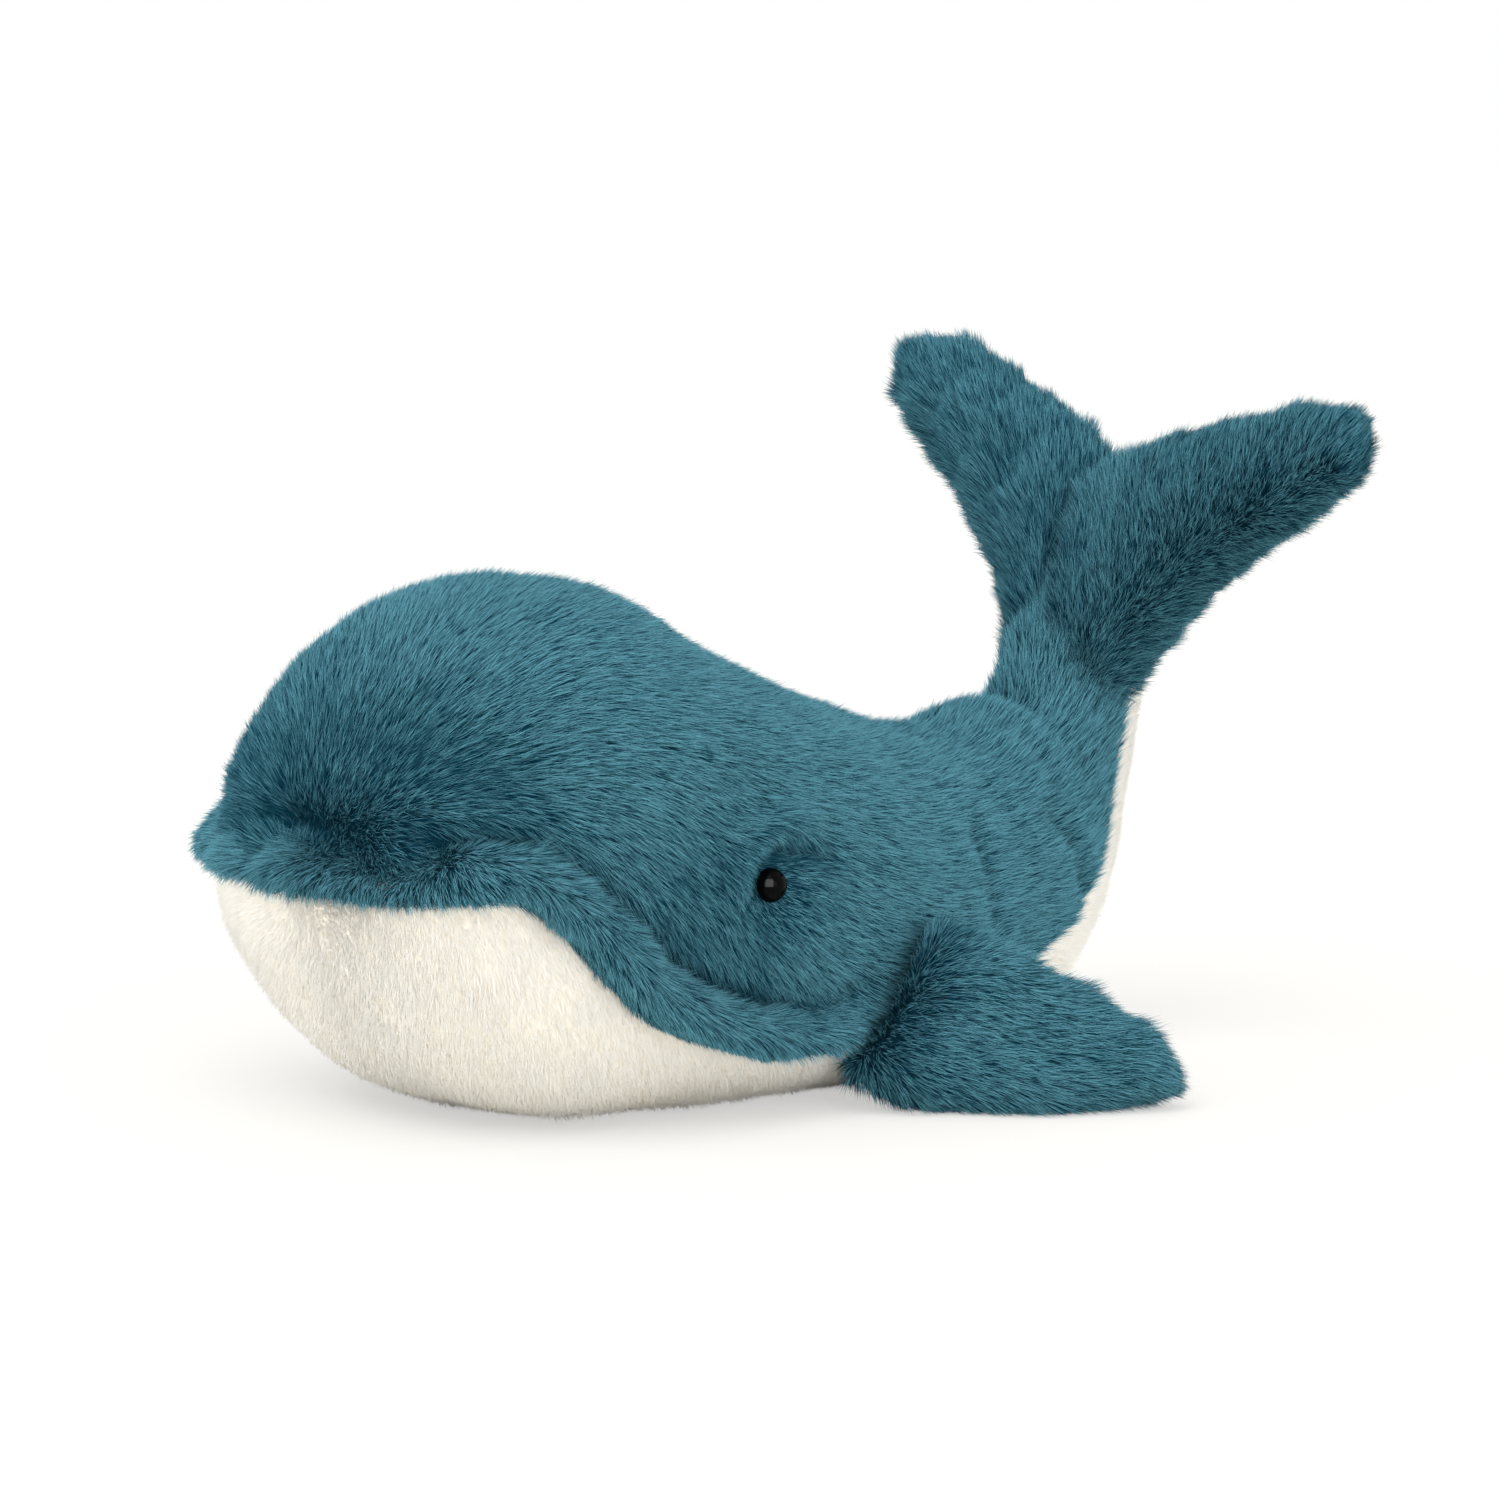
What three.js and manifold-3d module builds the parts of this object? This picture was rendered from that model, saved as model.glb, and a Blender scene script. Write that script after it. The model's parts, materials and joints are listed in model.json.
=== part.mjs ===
// A plush whale that lies on its belly with its tail raised.
// Blue back panels and a cream belly panel are sewn round a fibre filling, a thick lip roll runs
// round the mouth, and the flippers and the two fluke lobes are stuffed by themselves.
// Sizes are in millimetres. The nose points to -Y, the back is up (+Z), the whale's left is +X,
// and the origin is on the floor under the middle of the whole whale. The pile is left out, so
// every outer face here is the cloth under the fur.
import * as THREE from 'three';
import { mergeVertices } from 'three/addons/utils/BufferGeometryUtils.js';
import Module from 'manifold-3d';

// Driving sizes of the body.
const bodyLength = 268;
const headHeight = 139;
const headWidth = 138;
const skinThickness = 2;
const gap = 0.3;
const fillingGap = 0.5;
const weldTolerance = 0.0003;
const baseFlat = 0.5;

// Driving sizes of the stem that carries the fluke.
const stemInset = 12.5;
const stemSetback = bodyLength - stemInset;
const stemHeight = 106;
const stemWidth = 37;
const stemThickness = 36;
const tailLean = 11;

// Driving sizes of the fluke, and how it is turned on the stem.
const flukeSpan = 188;
const flukeNotchHeight = 51;
const flukeTipHeight = 80;
const flukeRootDepth = 12;
const flukeOverlap = 3;
const flukeThickness = 33;
const flukeTwist = 4;
const flukeRoll = 3.5;

// Driving sizes of the flippers.
const flipperLength = 68;
const flipperRootWidth = 50;
const flipperRootThickness = 18;
const flipperThickness = 22;
const flipperFrontCurl = 8;
const flipperAlong = 148;
const flipperHeight = 27;
const flipperSeamRise = 56;
const flipperDroop = 38;
const flipperFloorClearance = 0.7;

// Driving sizes of the lip roll.
const lipWidth = 14;
const lipThickness = 15;
const lipStandoff = 2;
const lipNoseHeight = 72;
const lipDrawIn = 7;
const lipNoseHalfWidth = 30;
const lipCheekHalfWidth = 62;
const lipEndInset = 17.5;
const lipReach = flipperAlong - lipEndInset;

// Driving sizes of the eyes and of the pellet pouch.
const eyeDiameter = 9;
const eyeDomeHeight = 4.2;
const eyeAlong = 101;
const eyeHeight = 63;
const eyeSeatDepth = 0.8;
const shankDiameter = 3;
const shankLength = 10;
const washerDiameter = 12;
const washerThickness = 1.6;
const washerDrop = 1.6;
const pouchLength = 92;
const pouchWidth = 72;
const pouchHeight = 32;
const pouchAlong = 104;

// Where the tail and the fluke lobes bend, and the radii of the rounded faces that they turn on.
const tailBendInset = 25;
const tailBendAlong = bodyLength - tailBendInset;
const tailBendHeight = 80;
const tailBendLean = 30;
const tailBendRadius = 30;
const lobeBendAcross = 34;
const lobeBendHeight = 45;
const lobeBendTurn = 58;
const lobeBendRadius = 17;
const bendGap = 0.5;
const overrun = 400;

// How finely the forms are drawn.
const trunkSteps = 22;
const ringPoints = 14;
const lobeSteps = 8;
const lobePoints = 8;
const flipperPoints = 8;
const lipSteps = 20;
const lipPoints = 8;
const roundSegments = 12;
const domeSteps = 4;
const bendSegments = 24;

// Cuts through the body from nose to rump. Each row has the top and the bottom of a cut as
// shares of bodyLength and headHeight, half its width as a share of half of headWidth, its widest
// and its seam level as shares of its height, and how square its lower half is.
const bodyShares = [
  { topY: -0.006, topZ: 0.46, bottomY: -0.006, bottomZ: 0.46, half: 0, widest: 0.5, seam: 0.45, square: 0 },
  { topY: -0.01, topZ: 0.57, bottomY: 0.006, bottomZ: 0.34, half: 0.37, widest: 0.5, seam: 0.65, square: 0 },
  { topY: 0.004, topZ: 0.7, bottomY: 0.024, bottomZ: 0.25, half: 0.64, widest: 0.47, seam: 0.57, square: 0.02 },
  { topY: 0.045, topZ: 0.835, bottomY: 0.065, bottomZ: 0.14, half: 0.83, widest: 0.45, seam: 0.52, square: 0.18 },
  { topY: 0.115, topZ: 0.95, bottomY: 0.13, bottomZ: 0.055, half: 0.945, widest: 0.44, seam: 0.44, square: 0.28 },
  { topY: 0.21, topZ: 1, bottomY: 0.21, bottomZ: 0.01, half: 0.99, widest: 0.43, seam: 0.345, square: 0.31 },
  { topY: 0.32, topZ: 0.963, bottomY: 0.315, bottomZ: 0, half: 1, widest: 0.42, seam: 0.23, square: 0.32 },
  { topY: 0.42, topZ: 0.865, bottomY: 0.43, bottomZ: 0, half: 0.97, widest: 0.41, seam: 0.185, square: 0.37 },
  { topY: 0.52, topZ: 0.775, bottomY: 0.56, bottomZ: 0, half: 0.89, widest: 0.4, seam: 0.2, square: 0.4 },
  { topY: 0.62, topZ: 0.695, bottomY: 0.68, bottomZ: 0.003, half: 0.77, widest: 0.4, seam: 0.23, square: 0.4 },
  { topY: 0.7, topZ: 0.65, bottomY: 0.8, bottomZ: 0.045, half: 0.62, widest: 0.42, seam: 0.29, square: 0.35 },
  { topY: 0.765, topZ: 0.65, bottomY: 0.9, bottomZ: 0.15, half: 0.48, widest: 0.45, seam: 0.29, square: 0.2 },
  { topY: 0.81, topZ: 0.685, bottomY: 0.975, bottomZ: 0.32, half: 0.36, widest: 0.48, seam: 0.29, square: 0.1 },
];

// Cuts through the stem, from the rump up into the fluke: how far above the stem's top they lie,
// in stem thicknesses, and how much wider and thicker than the stem they are.
const stemShares = [
  { rise: -0.45, width: 1.1, thickness: 1.2, back: -0.04, seam: 0.34 },
  { rise: 0.05, width: 0.97, thickness: 1.03, back: 0, seam: 0.38 },
  { rise: 0.45, width: 0.8, thickness: 0.7, back: 0, seam: 0.5 },
];

// Cuts through half of the fluke, from the middle out to the tip. Across is a share of half the
// span, upper runs from the notch to the highest point, lower from the root to it.
const lobeShares = [
  { upperX: 0, upper: 0, lowerX: 0, lower: 0, thickness: 1 },
  { upperX: 0.085, upper: 0.14, lowerX: 0.18, lower: 0.042, thickness: 0.97 },
  { upperX: 0.2, upper: 0.33, lowerX: 0.255, lower: 0.148, thickness: 0.91 },
  { upperX: 0.34, upper: 0.53, lowerX: 0.37, lower: 0.307, thickness: 0.85 },
  { upperX: 0.49, upper: 0.71, lowerX: 0.51, lower: 0.455, thickness: 0.79 },
  { upperX: 0.64, upper: 0.86, lowerX: 0.66, lower: 0.587, thickness: 0.7 },
  { upperX: 0.785, upper: 0.965, lowerX: 0.8, lower: 0.685, thickness: 0.58 },
  { upperX: 0.915, upper: 0.985, lowerX: 0.925, lower: 0.77, thickness: 0.42 },
  { upperX: 0.99, upper: 0.93, lowerX: 0.995, lower: 0.82, thickness: 0.27 },
];

// Cuts through a flipper, from its root out to its tip. Out is a share of its length, the front
// and back edges are shares of its root's width.
const flipperShares = [
  { out: 0.17, front: -0.46, back: 0.47, thickness: 0.94 },
  { out: 0.35, front: -0.37, back: 0.43, thickness: 1 },
  { out: 0.52, front: -0.28, back: 0.42, thickness: 0.97 },
  { out: 0.68, front: -0.17, back: 0.41, thickness: 0.88 },
  { out: 0.82, front: -0.02, back: 0.38, thickness: 0.74 },
  { out: 0.93, front: 0.11, back: 0.32, thickness: 0.52 },
  { out: 0.985, front: 0.17, back: 0.27, thickness: 0.3 },
];

// How a flipper's rounded root narrows towards the body, as shares of its root's width.
const flipperRootShares = [
  { turn: 0.72, front: -0.41, back: 0.36 },
  { turn: 0.4, front: -0.46, back: 0.41 },
  { turn: 0, front: -0.49, back: 0.44 },
];

// Where the lip roll's middle runs on the head, from its end by the flipper to the nose, as
// shares of lipReach and headHeight, and how thick it is there.
const lipShares = [
  { along: 1, height: 0.175, size: 0.4 },
  { along: 0.914, height: 0.165, size: 0.7 },
  { along: 0.77, height: 0.176, size: 0.82 },
  { along: 0.616, height: 0.224, size: 0.9 },
  { along: 0.472, height: 0.292, size: 1 },
  { along: 0.359, height: 0.405, size: 0.97 },
  { along: 0.226, height: 0.51, size: 0.85 },
  { along: 0.092, height: 0.53, size: 0.95 },
];

const wasm = await Module();
wasm.setup();

const blue = { color: 0x2f6a7d, roughness: 0.95, metalness: 0 };
const cream = { color: 0xf1ebdd, roughness: 0.95, metalness: 0 };
const fibre = { color: 0xf5f5f2, roughness: 0.98, metalness: 0 };
const cotton = { color: 0xd8d2c4, roughness: 0.9, metalness: 0 };
const glossBlack = { color: 0x0a0a0b, roughness: 0.12, metalness: 0 };
const plainPlastic = { color: 0xd9d9d6, roughness: 0.5, metalness: 0 };

const lerp = THREE.MathUtils.lerp;
const radians = THREE.MathUtils.degToRad;
const whale = new THREE.Group();

// The solid that a closed geometry bounds.
function solid(geometry) {
  const bare = geometry.index ? geometry.toNonIndexed() : geometry.clone();
  bare.deleteAttribute('normal');
  bare.deleteAttribute('uv');
  const merged = mergeVertices(bare, weldTolerance);
  return new wasm.Manifold(new wasm.Mesh({
    numProp: 3,
    vertProperties: merged.attributes.position.array,
    triVerts: new Uint32Array(merged.index.array),
  }));
}

// The faces of a solid.
function facesOf(made) {
  const { vertProperties, triVerts } = made.getMesh();
  const geometry = new THREE.BufferGeometry();
  geometry.setAttribute('position', new THREE.BufferAttribute(vertProperties, 3));
  geometry.setIndex(new THREE.BufferAttribute(triVerts, 1));
  return geometry;
}

// A solid put in another place.
function placed(made, matrix) {
  return solid(facesOf(made).applyMatrix4(matrix));
}

// The twin of a solid on the other side of x = 0. Its faces are listed the other way round, so
// that they point out again.
function mirrored(made) {
  const geometry = facesOf(made).scale(-1, 1, 1);
  geometry.index.array.reverse();
  return solid(geometry);
}

// Adds a solid to the whale as a named piece.
function addPiece(name, made, finish) {
  const geometry = facesOf(made).toNonIndexed();
  geometry.computeVertexNormals();
  const mesh = new THREE.Mesh(geometry, new THREE.MeshStandardMaterial(finish));
  mesh.name = name;
  whale.add(mesh);
}

// A closed skin over rings of equally many points, with a flat fan at each end.
function loft(rings) {
  const count = rings[0].length;
  const corners = [];
  const add = (a, b, c) => {
    if (new THREE.Triangle(a, b, c).getArea() > 0) corners.push(a, b, c);
  };
  const fan = (ring, facing) => {
    const middle = new THREE.Vector3();
    ring.forEach((point) => middle.addScaledVector(point, 1 / count));
    ring.forEach((point, j) => {
      const next = ring[(j + 1) % count];
      if (facing > 0) add(middle, point, next);
      else add(middle, next, point);
    });
  };
  for (let i = 0; i + 1 < rings.length; i += 1) {
    for (let j = 0; j < count; j += 1) {
      const next = (j + 1) % count;
      add(rings[i][j], rings[i][next], rings[i + 1][next]);
      add(rings[i][j], rings[i + 1][next], rings[i + 1][j]);
    }
  }
  fan(rings[0], -1);
  fan(rings.at(-1), 1);
  return new THREE.BufferGeometry().setFromPoints(corners);
}

// The same closed form with its skin moved in by a depth, or out by a negative one.
function inset(geometry, depth) {
  const form = mergeVertices(geometry, weldTolerance);
  form.computeVertexNormals();
  const { position, normal } = form.attributes;
  for (let i = 0; i < position.count; i += 1) {
    position.setXYZ(
      i,
      position.getX(i) - depth * normal.getX(i),
      position.getY(i) - depth * normal.getY(i),
      position.getZ(i) - depth * normal.getZ(i),
    );
  }
  return form;
}

// A solid box between two corners.
function block(lowX, lowY, lowZ, highX, highY, highZ) {
  const shape = new THREE.BoxGeometry(highX - lowX, highY - lowY, highZ - lowZ);
  return solid(shape.translate((lowX + highX) / 2, (lowY + highY) / 2, (lowZ + highZ) / 2));
}

// The half of space on one side of a level in x, y or z.
const leftOf = (x) => block(x, -overrun, -overrun, overrun, overrun, overrun);
const behind = (y) => block(-overrun, y, -overrun, overrun, overrun, overrun);
const below = (z) => block(-overrun, -overrun, -overrun, overrun, overrun, z);

// A solid of revolution about z.
function turned(profile) {
  const points = profile.map(([radius, height]) => new THREE.Vector2(radius, height));
  return solid(new THREE.LatheGeometry(points, roundSegments).rotateX(Math.PI / 2));
}

// Evenly spread rows on a smooth curve through the rows of a table.
function smoothRows(rows, steps) {
  const keys = Object.keys(rows[0]);
  const curves = keys.map((key) => new THREE.CatmullRomCurve3(
    rows.map((row) => new THREE.Vector3(row[key], 0, 0)),
    false,
    'catmullrom',
  ));
  return Array.from({ length: steps + 1 }, (_, i) => Object.fromEntries(
    keys.map((key, k) => [key, curves[k].getPoint(i / steps).x]),
  ));
}

// A wave between -1 and 1 made squarer, with its sign kept.
function squarer(wave, square) {
  return Math.sign(wave) * Math.abs(wave) ** (1 - square);
}

// Every cut of the trunk in real sizes, from the nose to the end of the stem inside the fluke.
function trunkRows() {
  const body = bodyShares.map((row) => ({
    ...row,
    topY: row.topY * bodyLength,
    topZ: row.topZ * headHeight,
    bottomY: row.bottomY * bodyLength,
    bottomZ: row.bottomZ * headHeight,
    half: row.half * headWidth / 2,
  }));
  const lean = radians(tailLean);
  const stem = stemShares.map((row) => {
    const rise = row.rise * stemThickness;
    const y = stemSetback + rise * Math.sin(lean) + row.back * stemThickness;
    const z = stemHeight + rise * Math.cos(lean);
    const across = row.thickness * stemThickness / 2;
    return {
      topY: y - across * Math.cos(lean),
      topZ: z + across * Math.sin(lean),
      bottomY: y + across * Math.cos(lean),
      bottomZ: z - across * Math.sin(lean),
      half: row.width * stemWidth / 2,
      widest: 0.5,
      seam: row.seam,
      square: 0,
    };
  });
  return smoothRows([...body, ...stem], trunkSteps);
}

// The ring of a trunk cut: round above its widest level, squarer below it.
function trunkRing(row) {
  const top = new THREE.Vector3(0, row.topY, row.topZ);
  const bottom = new THREE.Vector3(0, row.bottomY, row.bottomZ);
  return Array.from({ length: ringPoints }, (_, i) => {
    const angle = 2 * Math.PI * i / ringPoints;
    const cosine = Math.cos(angle);
    const square = cosine < 0 ? row.square : 0;
    const edge = cosine > 0 ? 1 : 0;
    const level = lerp(row.widest, edge, Math.abs(squarer(cosine, square)));
    const point = new THREE.Vector3().lerpVectors(bottom, top, level);
    point.x = row.half * squarer(Math.sin(angle), square);
    return point;
  });
}

// The space under the sewn seam between back and belly, raised by a little.
function bellyWedge(rows, lift) {
  const rings = rows.map((row) => {
    const top = new THREE.Vector3(0, row.topY, row.topZ);
    const bottom = new THREE.Vector3(0, row.bottomY, row.bottomZ);
    const down = new THREE.Vector3().subVectors(bottom, top);
    if (down.length() < gap) down.set(0, 0, -1);
    down.normalize();
    const seam = new THREE.Vector3().lerpVectors(bottom, top, row.seam);
    seam.addScaledVector(down, -lift);
    const deep = seam.clone().addScaledVector(down, overrun);
    const corners = [[1, seam], [1, deep], [-1, deep], [-1, seam]];
    return corners.map(([side, at]) => at.clone().setX(side * overrun));
  });
  const ahead = rings[0].map((point) => point.clone().setY(point.y - overrun));
  return solid(loft([ahead, ...rings]));
}

// The frame of the fluke: its middle on the stem, x across, y out of its back and z up it.
function flukeFrame() {
  return new THREE.Matrix4()
    .makeTranslation(0, stemSetback, stemHeight)
    .multiply(new THREE.Matrix4().makeRotationX(-radians(tailLean)))
    .multiply(new THREE.Matrix4().makeRotationZ(radians(flukeTwist)))
    .multiply(new THREE.Matrix4().makeRotationY(radians(flukeRoll)));
}

// The left half of the fluke in its own frame. It starts a little past the middle, so that the
// two halves join.
function halfFluke() {
  const rings = smoothRows(lobeShares, lobeSteps).map((row) => {
    const upperX = row.upperX * flukeSpan / 2 - flukeOverlap;
    const lowerX = row.lowerX * flukeSpan / 2 - flukeOverlap;
    const upperZ = lerp(flukeNotchHeight, flukeTipHeight, row.upper);
    const lowerZ = lerp(-flukeRootDepth, flukeTipHeight, row.lower);
    return Array.from({ length: lobePoints }, (_, i) => {
      const angle = 2 * Math.PI * i / lobePoints;
      const level = 0.5 + 0.5 * Math.cos(angle);
      return new THREE.Vector3(
        lerp(lowerX, upperX, level),
        -Math.sin(angle) * row.thickness * flukeThickness / 2,
        lerp(lowerZ, upperZ, level),
      );
    });
  });
  return loft(rings);
}

// The whole of body, stem and fluke as one solid, with its skin moved in by a depth.
function wholeForm(rows, depth) {
  const trunk = solid(inset(loft(rows.map(trunkRing)), depth));
  const left = solid(inset(halfFluke(), depth));
  const fluke = left.add(mirrored(left));
  return trunk.add(placed(fluke, flukeFrame()));
}

// The space that turns at a bend: a round bar along the bend's x, and all that lies past it.
function bendZone(frame, radius, clearance) {
  const reach = radius + clearance;
  const bar = new THREE.CylinderGeometry(reach, reach, 2 * overrun, bendSegments);
  const past = block(-overrun, -overrun, -clearance, overrun, overrun, 2 * overrun);
  return placed(solid(bar.rotateZ(Math.PI / 2)).add(past), frame);
}

function tailBendFrame() {
  return new THREE.Matrix4()
    .makeTranslation(0, tailBendAlong, tailBendHeight)
    .multiply(new THREE.Matrix4().makeRotationX(-radians(tailBendLean)));
}

// The bend of a fluke lobe, on the left for side 1 and on the right for side -1.
function lobeBendFrame(side) {
  return flukeFrame()
    .multiply(new THREE.Matrix4().makeTranslation(side * lobeBendAcross, 0, lobeBendHeight))
    .multiply(new THREE.Matrix4().makeRotationY(side * radians(lobeBendTurn)));
}

// Where a level ray from the whale's left meets a skin, and which way the skin faces there.
function onSide(skin, y, z) {
  const start = new THREE.Vector3(overrun, y, z);
  const [hit] = new THREE.Raycaster(start, new THREE.Vector3(-1, 0, 0)).intersectObject(skin);
  return { point: hit.point, normal: hit.face.normal.clone() };
}

// The frame of an eye on the left: z out of the skin.
function eyeFrame(skin) {
  const { point, normal } = onSide(skin, eyeAlong, eyeHeight);
  const turn = new THREE.Quaternion().setFromUnitVectors(new THREE.Vector3(0, 0, 1), normal);
  return new THREE.Matrix4().compose(point, turn, new THREE.Vector3(1, 1, 1));
}

// A dome on a shank that passes through the skin. More makes it larger all round, as a cutter.
function eyeSolid(more) {
  const radius = eyeDiameter / 2 + more;
  const shank = shankDiameter / 2 + more;
  const seat = gap - eyeSeatDepth - more;
  const dome = Array.from({ length: domeSteps }, (_, i) => {
    const angle = Math.PI / 2 * i / domeSteps;
    return [radius * Math.cos(angle), seat + (eyeDomeHeight + more - seat) * Math.sin(angle)];
  });
  const top = [0, eyeDomeHeight + more];
  return turned([[0, -shankLength - more], [shank, -shankLength - more], [shank, seat], ...dome, top]);
}

// The washer that locks the shank under the skin.
function washerSolid() {
  const inner = shankDiameter / 2 + gap;
  const outer = washerDiameter / 2;
  const top = -skinThickness - washerDrop;
  const bottom = top - washerThickness;
  return turned([[inner, bottom], [outer, bottom], [outer, top], [inner, top], [inner, bottom]]);
}

// The room round an eye's washer, up to a height over it.
function washerRoom(rise) {
  const radius = washerDiameter / 2 + gap;
  const top = -skinThickness - washerDrop + rise;
  const bottom = -skinThickness - washerDrop - washerThickness - gap;
  return turned([[0, bottom], [radius, bottom], [radius, top], [0, top]]);
}

// The lip roll: a fat band that follows the mouth from cheek to cheek, laid on the head. Round the
// nose its upper edge is drawn in.
function lipRoll(skin, rows) {
  const left = lipShares.map(({ along, height }) => (
    onSide(skin, along * lipReach, height * headHeight).point
  ));
  const right = left.map((point) => point.clone().setX(-point.x)).reverse();
  const nose = new THREE.Vector3(0, rows[0].topY, lipNoseHeight);
  const path = new THREE.CatmullRomCurve3([...left, nose, ...right]);
  const sizes = lipShares.map((row) => row.size);
  const sizeCurve = new THREE.CatmullRomCurve3(
    [...sizes, 1, ...sizes.toReversed()].map((size) => new THREE.Vector3(size, 0, 0)),
    false,
    'catmullrom',
  );
  const up = new THREE.Vector3(0, 0, 1);
  const rings = Array.from({ length: lipSteps + 1 }, (_, i) => {
    const share = i / lipSteps;
    const middle = path.getPoint(share);
    const size = sizeCurve.getPoint(share).x;
    const tangent = path.getTangent(share);
    const out = new THREE.Vector3().crossVectors(up, tangent).normalize();
    const rise = new THREE.Vector3().crossVectors(tangent, out);
    const cheek = THREE.MathUtils.smoothstep(Math.abs(middle.x), lipNoseHalfWidth, lipCheekHalfWidth);
    return Array.from({ length: lipPoints }, (__, j) => {
      const angle = 2 * Math.PI * j / lipPoints;
      const drawnIn = lipDrawIn * (1 - cheek) * (1 + Math.sin(angle)) / 2;
      return middle.clone()
        .addScaledVector(out, lipStandoff + size * Math.cos(angle) * lipThickness / 2 - drawnIn)
        .addScaledVector(rise, size * Math.sin(angle) * lipWidth / 2);
    });
  });
  return solid(loft(rings));
}

// The frame of the left flipper: its root seam lies along y, x runs out to the tip and z out of
// its upper face. The seam follows the skin.
function flipperFrame(skin) {
  const { point, normal } = onSide(skin, flipperAlong, flipperHeight);
  const rise = radians(flipperSeamRise);
  const droop = radians(flipperDroop);
  const seam = new THREE.Vector3(0, Math.cos(rise), Math.sin(rise));
  seam.addScaledVector(normal, -seam.dot(normal)).normalize();
  const down = new THREE.Vector3().crossVectors(seam, normal);
  const out = normal.clone().multiplyScalar(Math.cos(droop)).addScaledVector(down, Math.sin(droop));
  const face = new THREE.Vector3().crossVectors(out, seam);
  const root = point.clone().addScaledVector(normal, flipperRootThickness / 2 + bendGap);
  return new THREE.Matrix4().makeBasis(out, seam, face).setPosition(root);
}

// A flipper in its own frame, with its skin moved in by a depth. Its root is a round bead, so that
// it can turn against the body, and the front end of the root curls back round the body.
function flipperForm(depth) {
  const root = flipperRootShares.map(({ turn, front, back }) => ({
    out: -Math.sin(turn * Math.PI / 2) * flipperRootThickness / 2,
    front: front * flipperRootWidth,
    back: back * flipperRootWidth,
    half: Math.cos(turn * Math.PI / 2) * flipperRootThickness / 2,
  }));
  const blade = flipperShares.map(({ out, front, back, thickness }) => ({
    out: out * flipperLength,
    front: front * flipperRootWidth,
    back: back * flipperRootWidth,
    half: thickness * flipperThickness / 2,
  }));
  const rings = [...root, ...blade].map(({ out, front, back, half }) => {
    const curl = flipperFrontCurl * (1 - THREE.MathUtils.smoothstep(out, 0, flipperLength / 2));
    return Array.from({ length: flipperPoints }, (_, i) => {
      const angle = 2 * Math.PI * i / flipperPoints;
      const across = lerp(front, back, 0.5 + 0.5 * Math.cos(angle));
      const ahead = Math.min(across, 0) / (flipperRootWidth / 2);
      return new THREE.Vector3(out - curl * ahead ** 2, across, Math.sin(angle) * half);
    });
  });
  return solid(inset(loft(rings), depth));
}

// Adds a piece of the left side and its mirrored twin on the right.
function addPair(name, made, finish) {
  addPiece(`left_${name}`, made, finish);
  addPiece(`right_${name}`, mirrored(made), finish);
}

const rows = trunkRows();
const skin = new THREE.Mesh(loft(rows.map(trunkRing)));
const floor = below(baseFlat);
const wedge = bellyWedge(rows, 0);
const raisedWedge = bellyWedge(rows, gap);
const shell = wholeForm(rows, 0).subtract(wholeForm(rows, skinThickness)).subtract(floor);
const filling = wholeForm(rows, skinThickness + fillingGap);
const tailFrame = tailBendFrame();
const turningTail = bendZone(tailFrame, tailBendRadius, 0);
const roomForTail = bendZone(tailFrame, tailBendRadius, bendGap);
const middleSeam = leftOf(-gap / 2).subtract(leftOf(gap / 2));

// The head and body.
function addBody() {
  const eyeAt = eyeFrame(skin);
  const eyeRoom = placed(eyeSolid(gap), eyeAt);
  const roomInCloth = eyeRoom.add(placed(washerRoom(gap), eyeAt));
  const roomInFilling = eyeRoom.add(placed(washerRoom(overrun), eyeAt));
  const cover = shell.subtract(roomForTail).subtract(roomInCloth).subtract(mirrored(roomInCloth));
  const back = cover.subtract(raisedWedge).subtract(middleSeam);
  const pouchForm = (more) => solid(new THREE.SphereGeometry(1, roundSegments, roundSegments / 2)
    .rotateX(Math.PI / 2)
    .scale(pouchWidth / 2 + more, pouchLength / 2 + more, pouchHeight / 2 + more)
    .translate(0, pouchAlong, pouchHeight / 2));
  const stuffing = filling.subtract(roomForTail)
    .subtract(roomInFilling)
    .subtract(mirrored(roomInFilling));
  addPiece('left_back_panel', back.intersect(leftOf(0)), blue);
  addPiece('right_back_panel', back.subtract(leftOf(0)), blue);
  addPiece('belly_panel', cover.intersect(wedge), cream);
  addPiece('body_stuffing', stuffing.subtract(pouchForm(gap)), fibre);
  addPiece('pellet_pouch', pouchForm(0).intersect(filling), cotton);
  const head = solid(inset(loft(rows.map(trunkRing)), -gap));
  addPiece('lip_roll', lipRoll(skin, rows).subtract(head), blue);
  addPair('eye', placed(eyeSolid(0), eyeAt), glossBlack);
  addPair('eye_washer', placed(washerSolid(), eyeAt), plainPlastic);
}

// The stem and the middle of the fluke, between its two lobes.
function addTail() {
  const place = flukeFrame();
  const lobeRoom = bendZone(lobeBendFrame(1), lobeBendRadius, bendGap)
    .add(bendZone(lobeBendFrame(-1), lobeBendRadius, bendGap));
  const cover = shell.intersect(turningTail).subtract(lobeRoom);
  const underside = wedge.intersect(placed(below(0), place));
  const raisedUnderside = raisedWedge.intersect(placed(below(gap), place));
  const flukeBack = placed(behind(0).subtract(below(gap)), place);
  const raisedFlukeBack = placed(behind(-gap).subtract(below(0)), place);
  const left = placed(leftOf(0), place);
  const front = cover.subtract(raisedUnderside).subtract(raisedFlukeBack)
    .subtract(placed(middleSeam, place));
  addPiece('left_tail_panel', front.intersect(left), blue);
  addPiece('right_tail_panel', front.subtract(left), blue);
  addPiece('tail_underside', cover.intersect(underside), cream);
  addPiece('fluke_back_panel', cover.intersect(flukeBack), blue);
  addPiece('tail_stuffing', filling.intersect(turningTail).subtract(lobeRoom), fibre);
}

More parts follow.
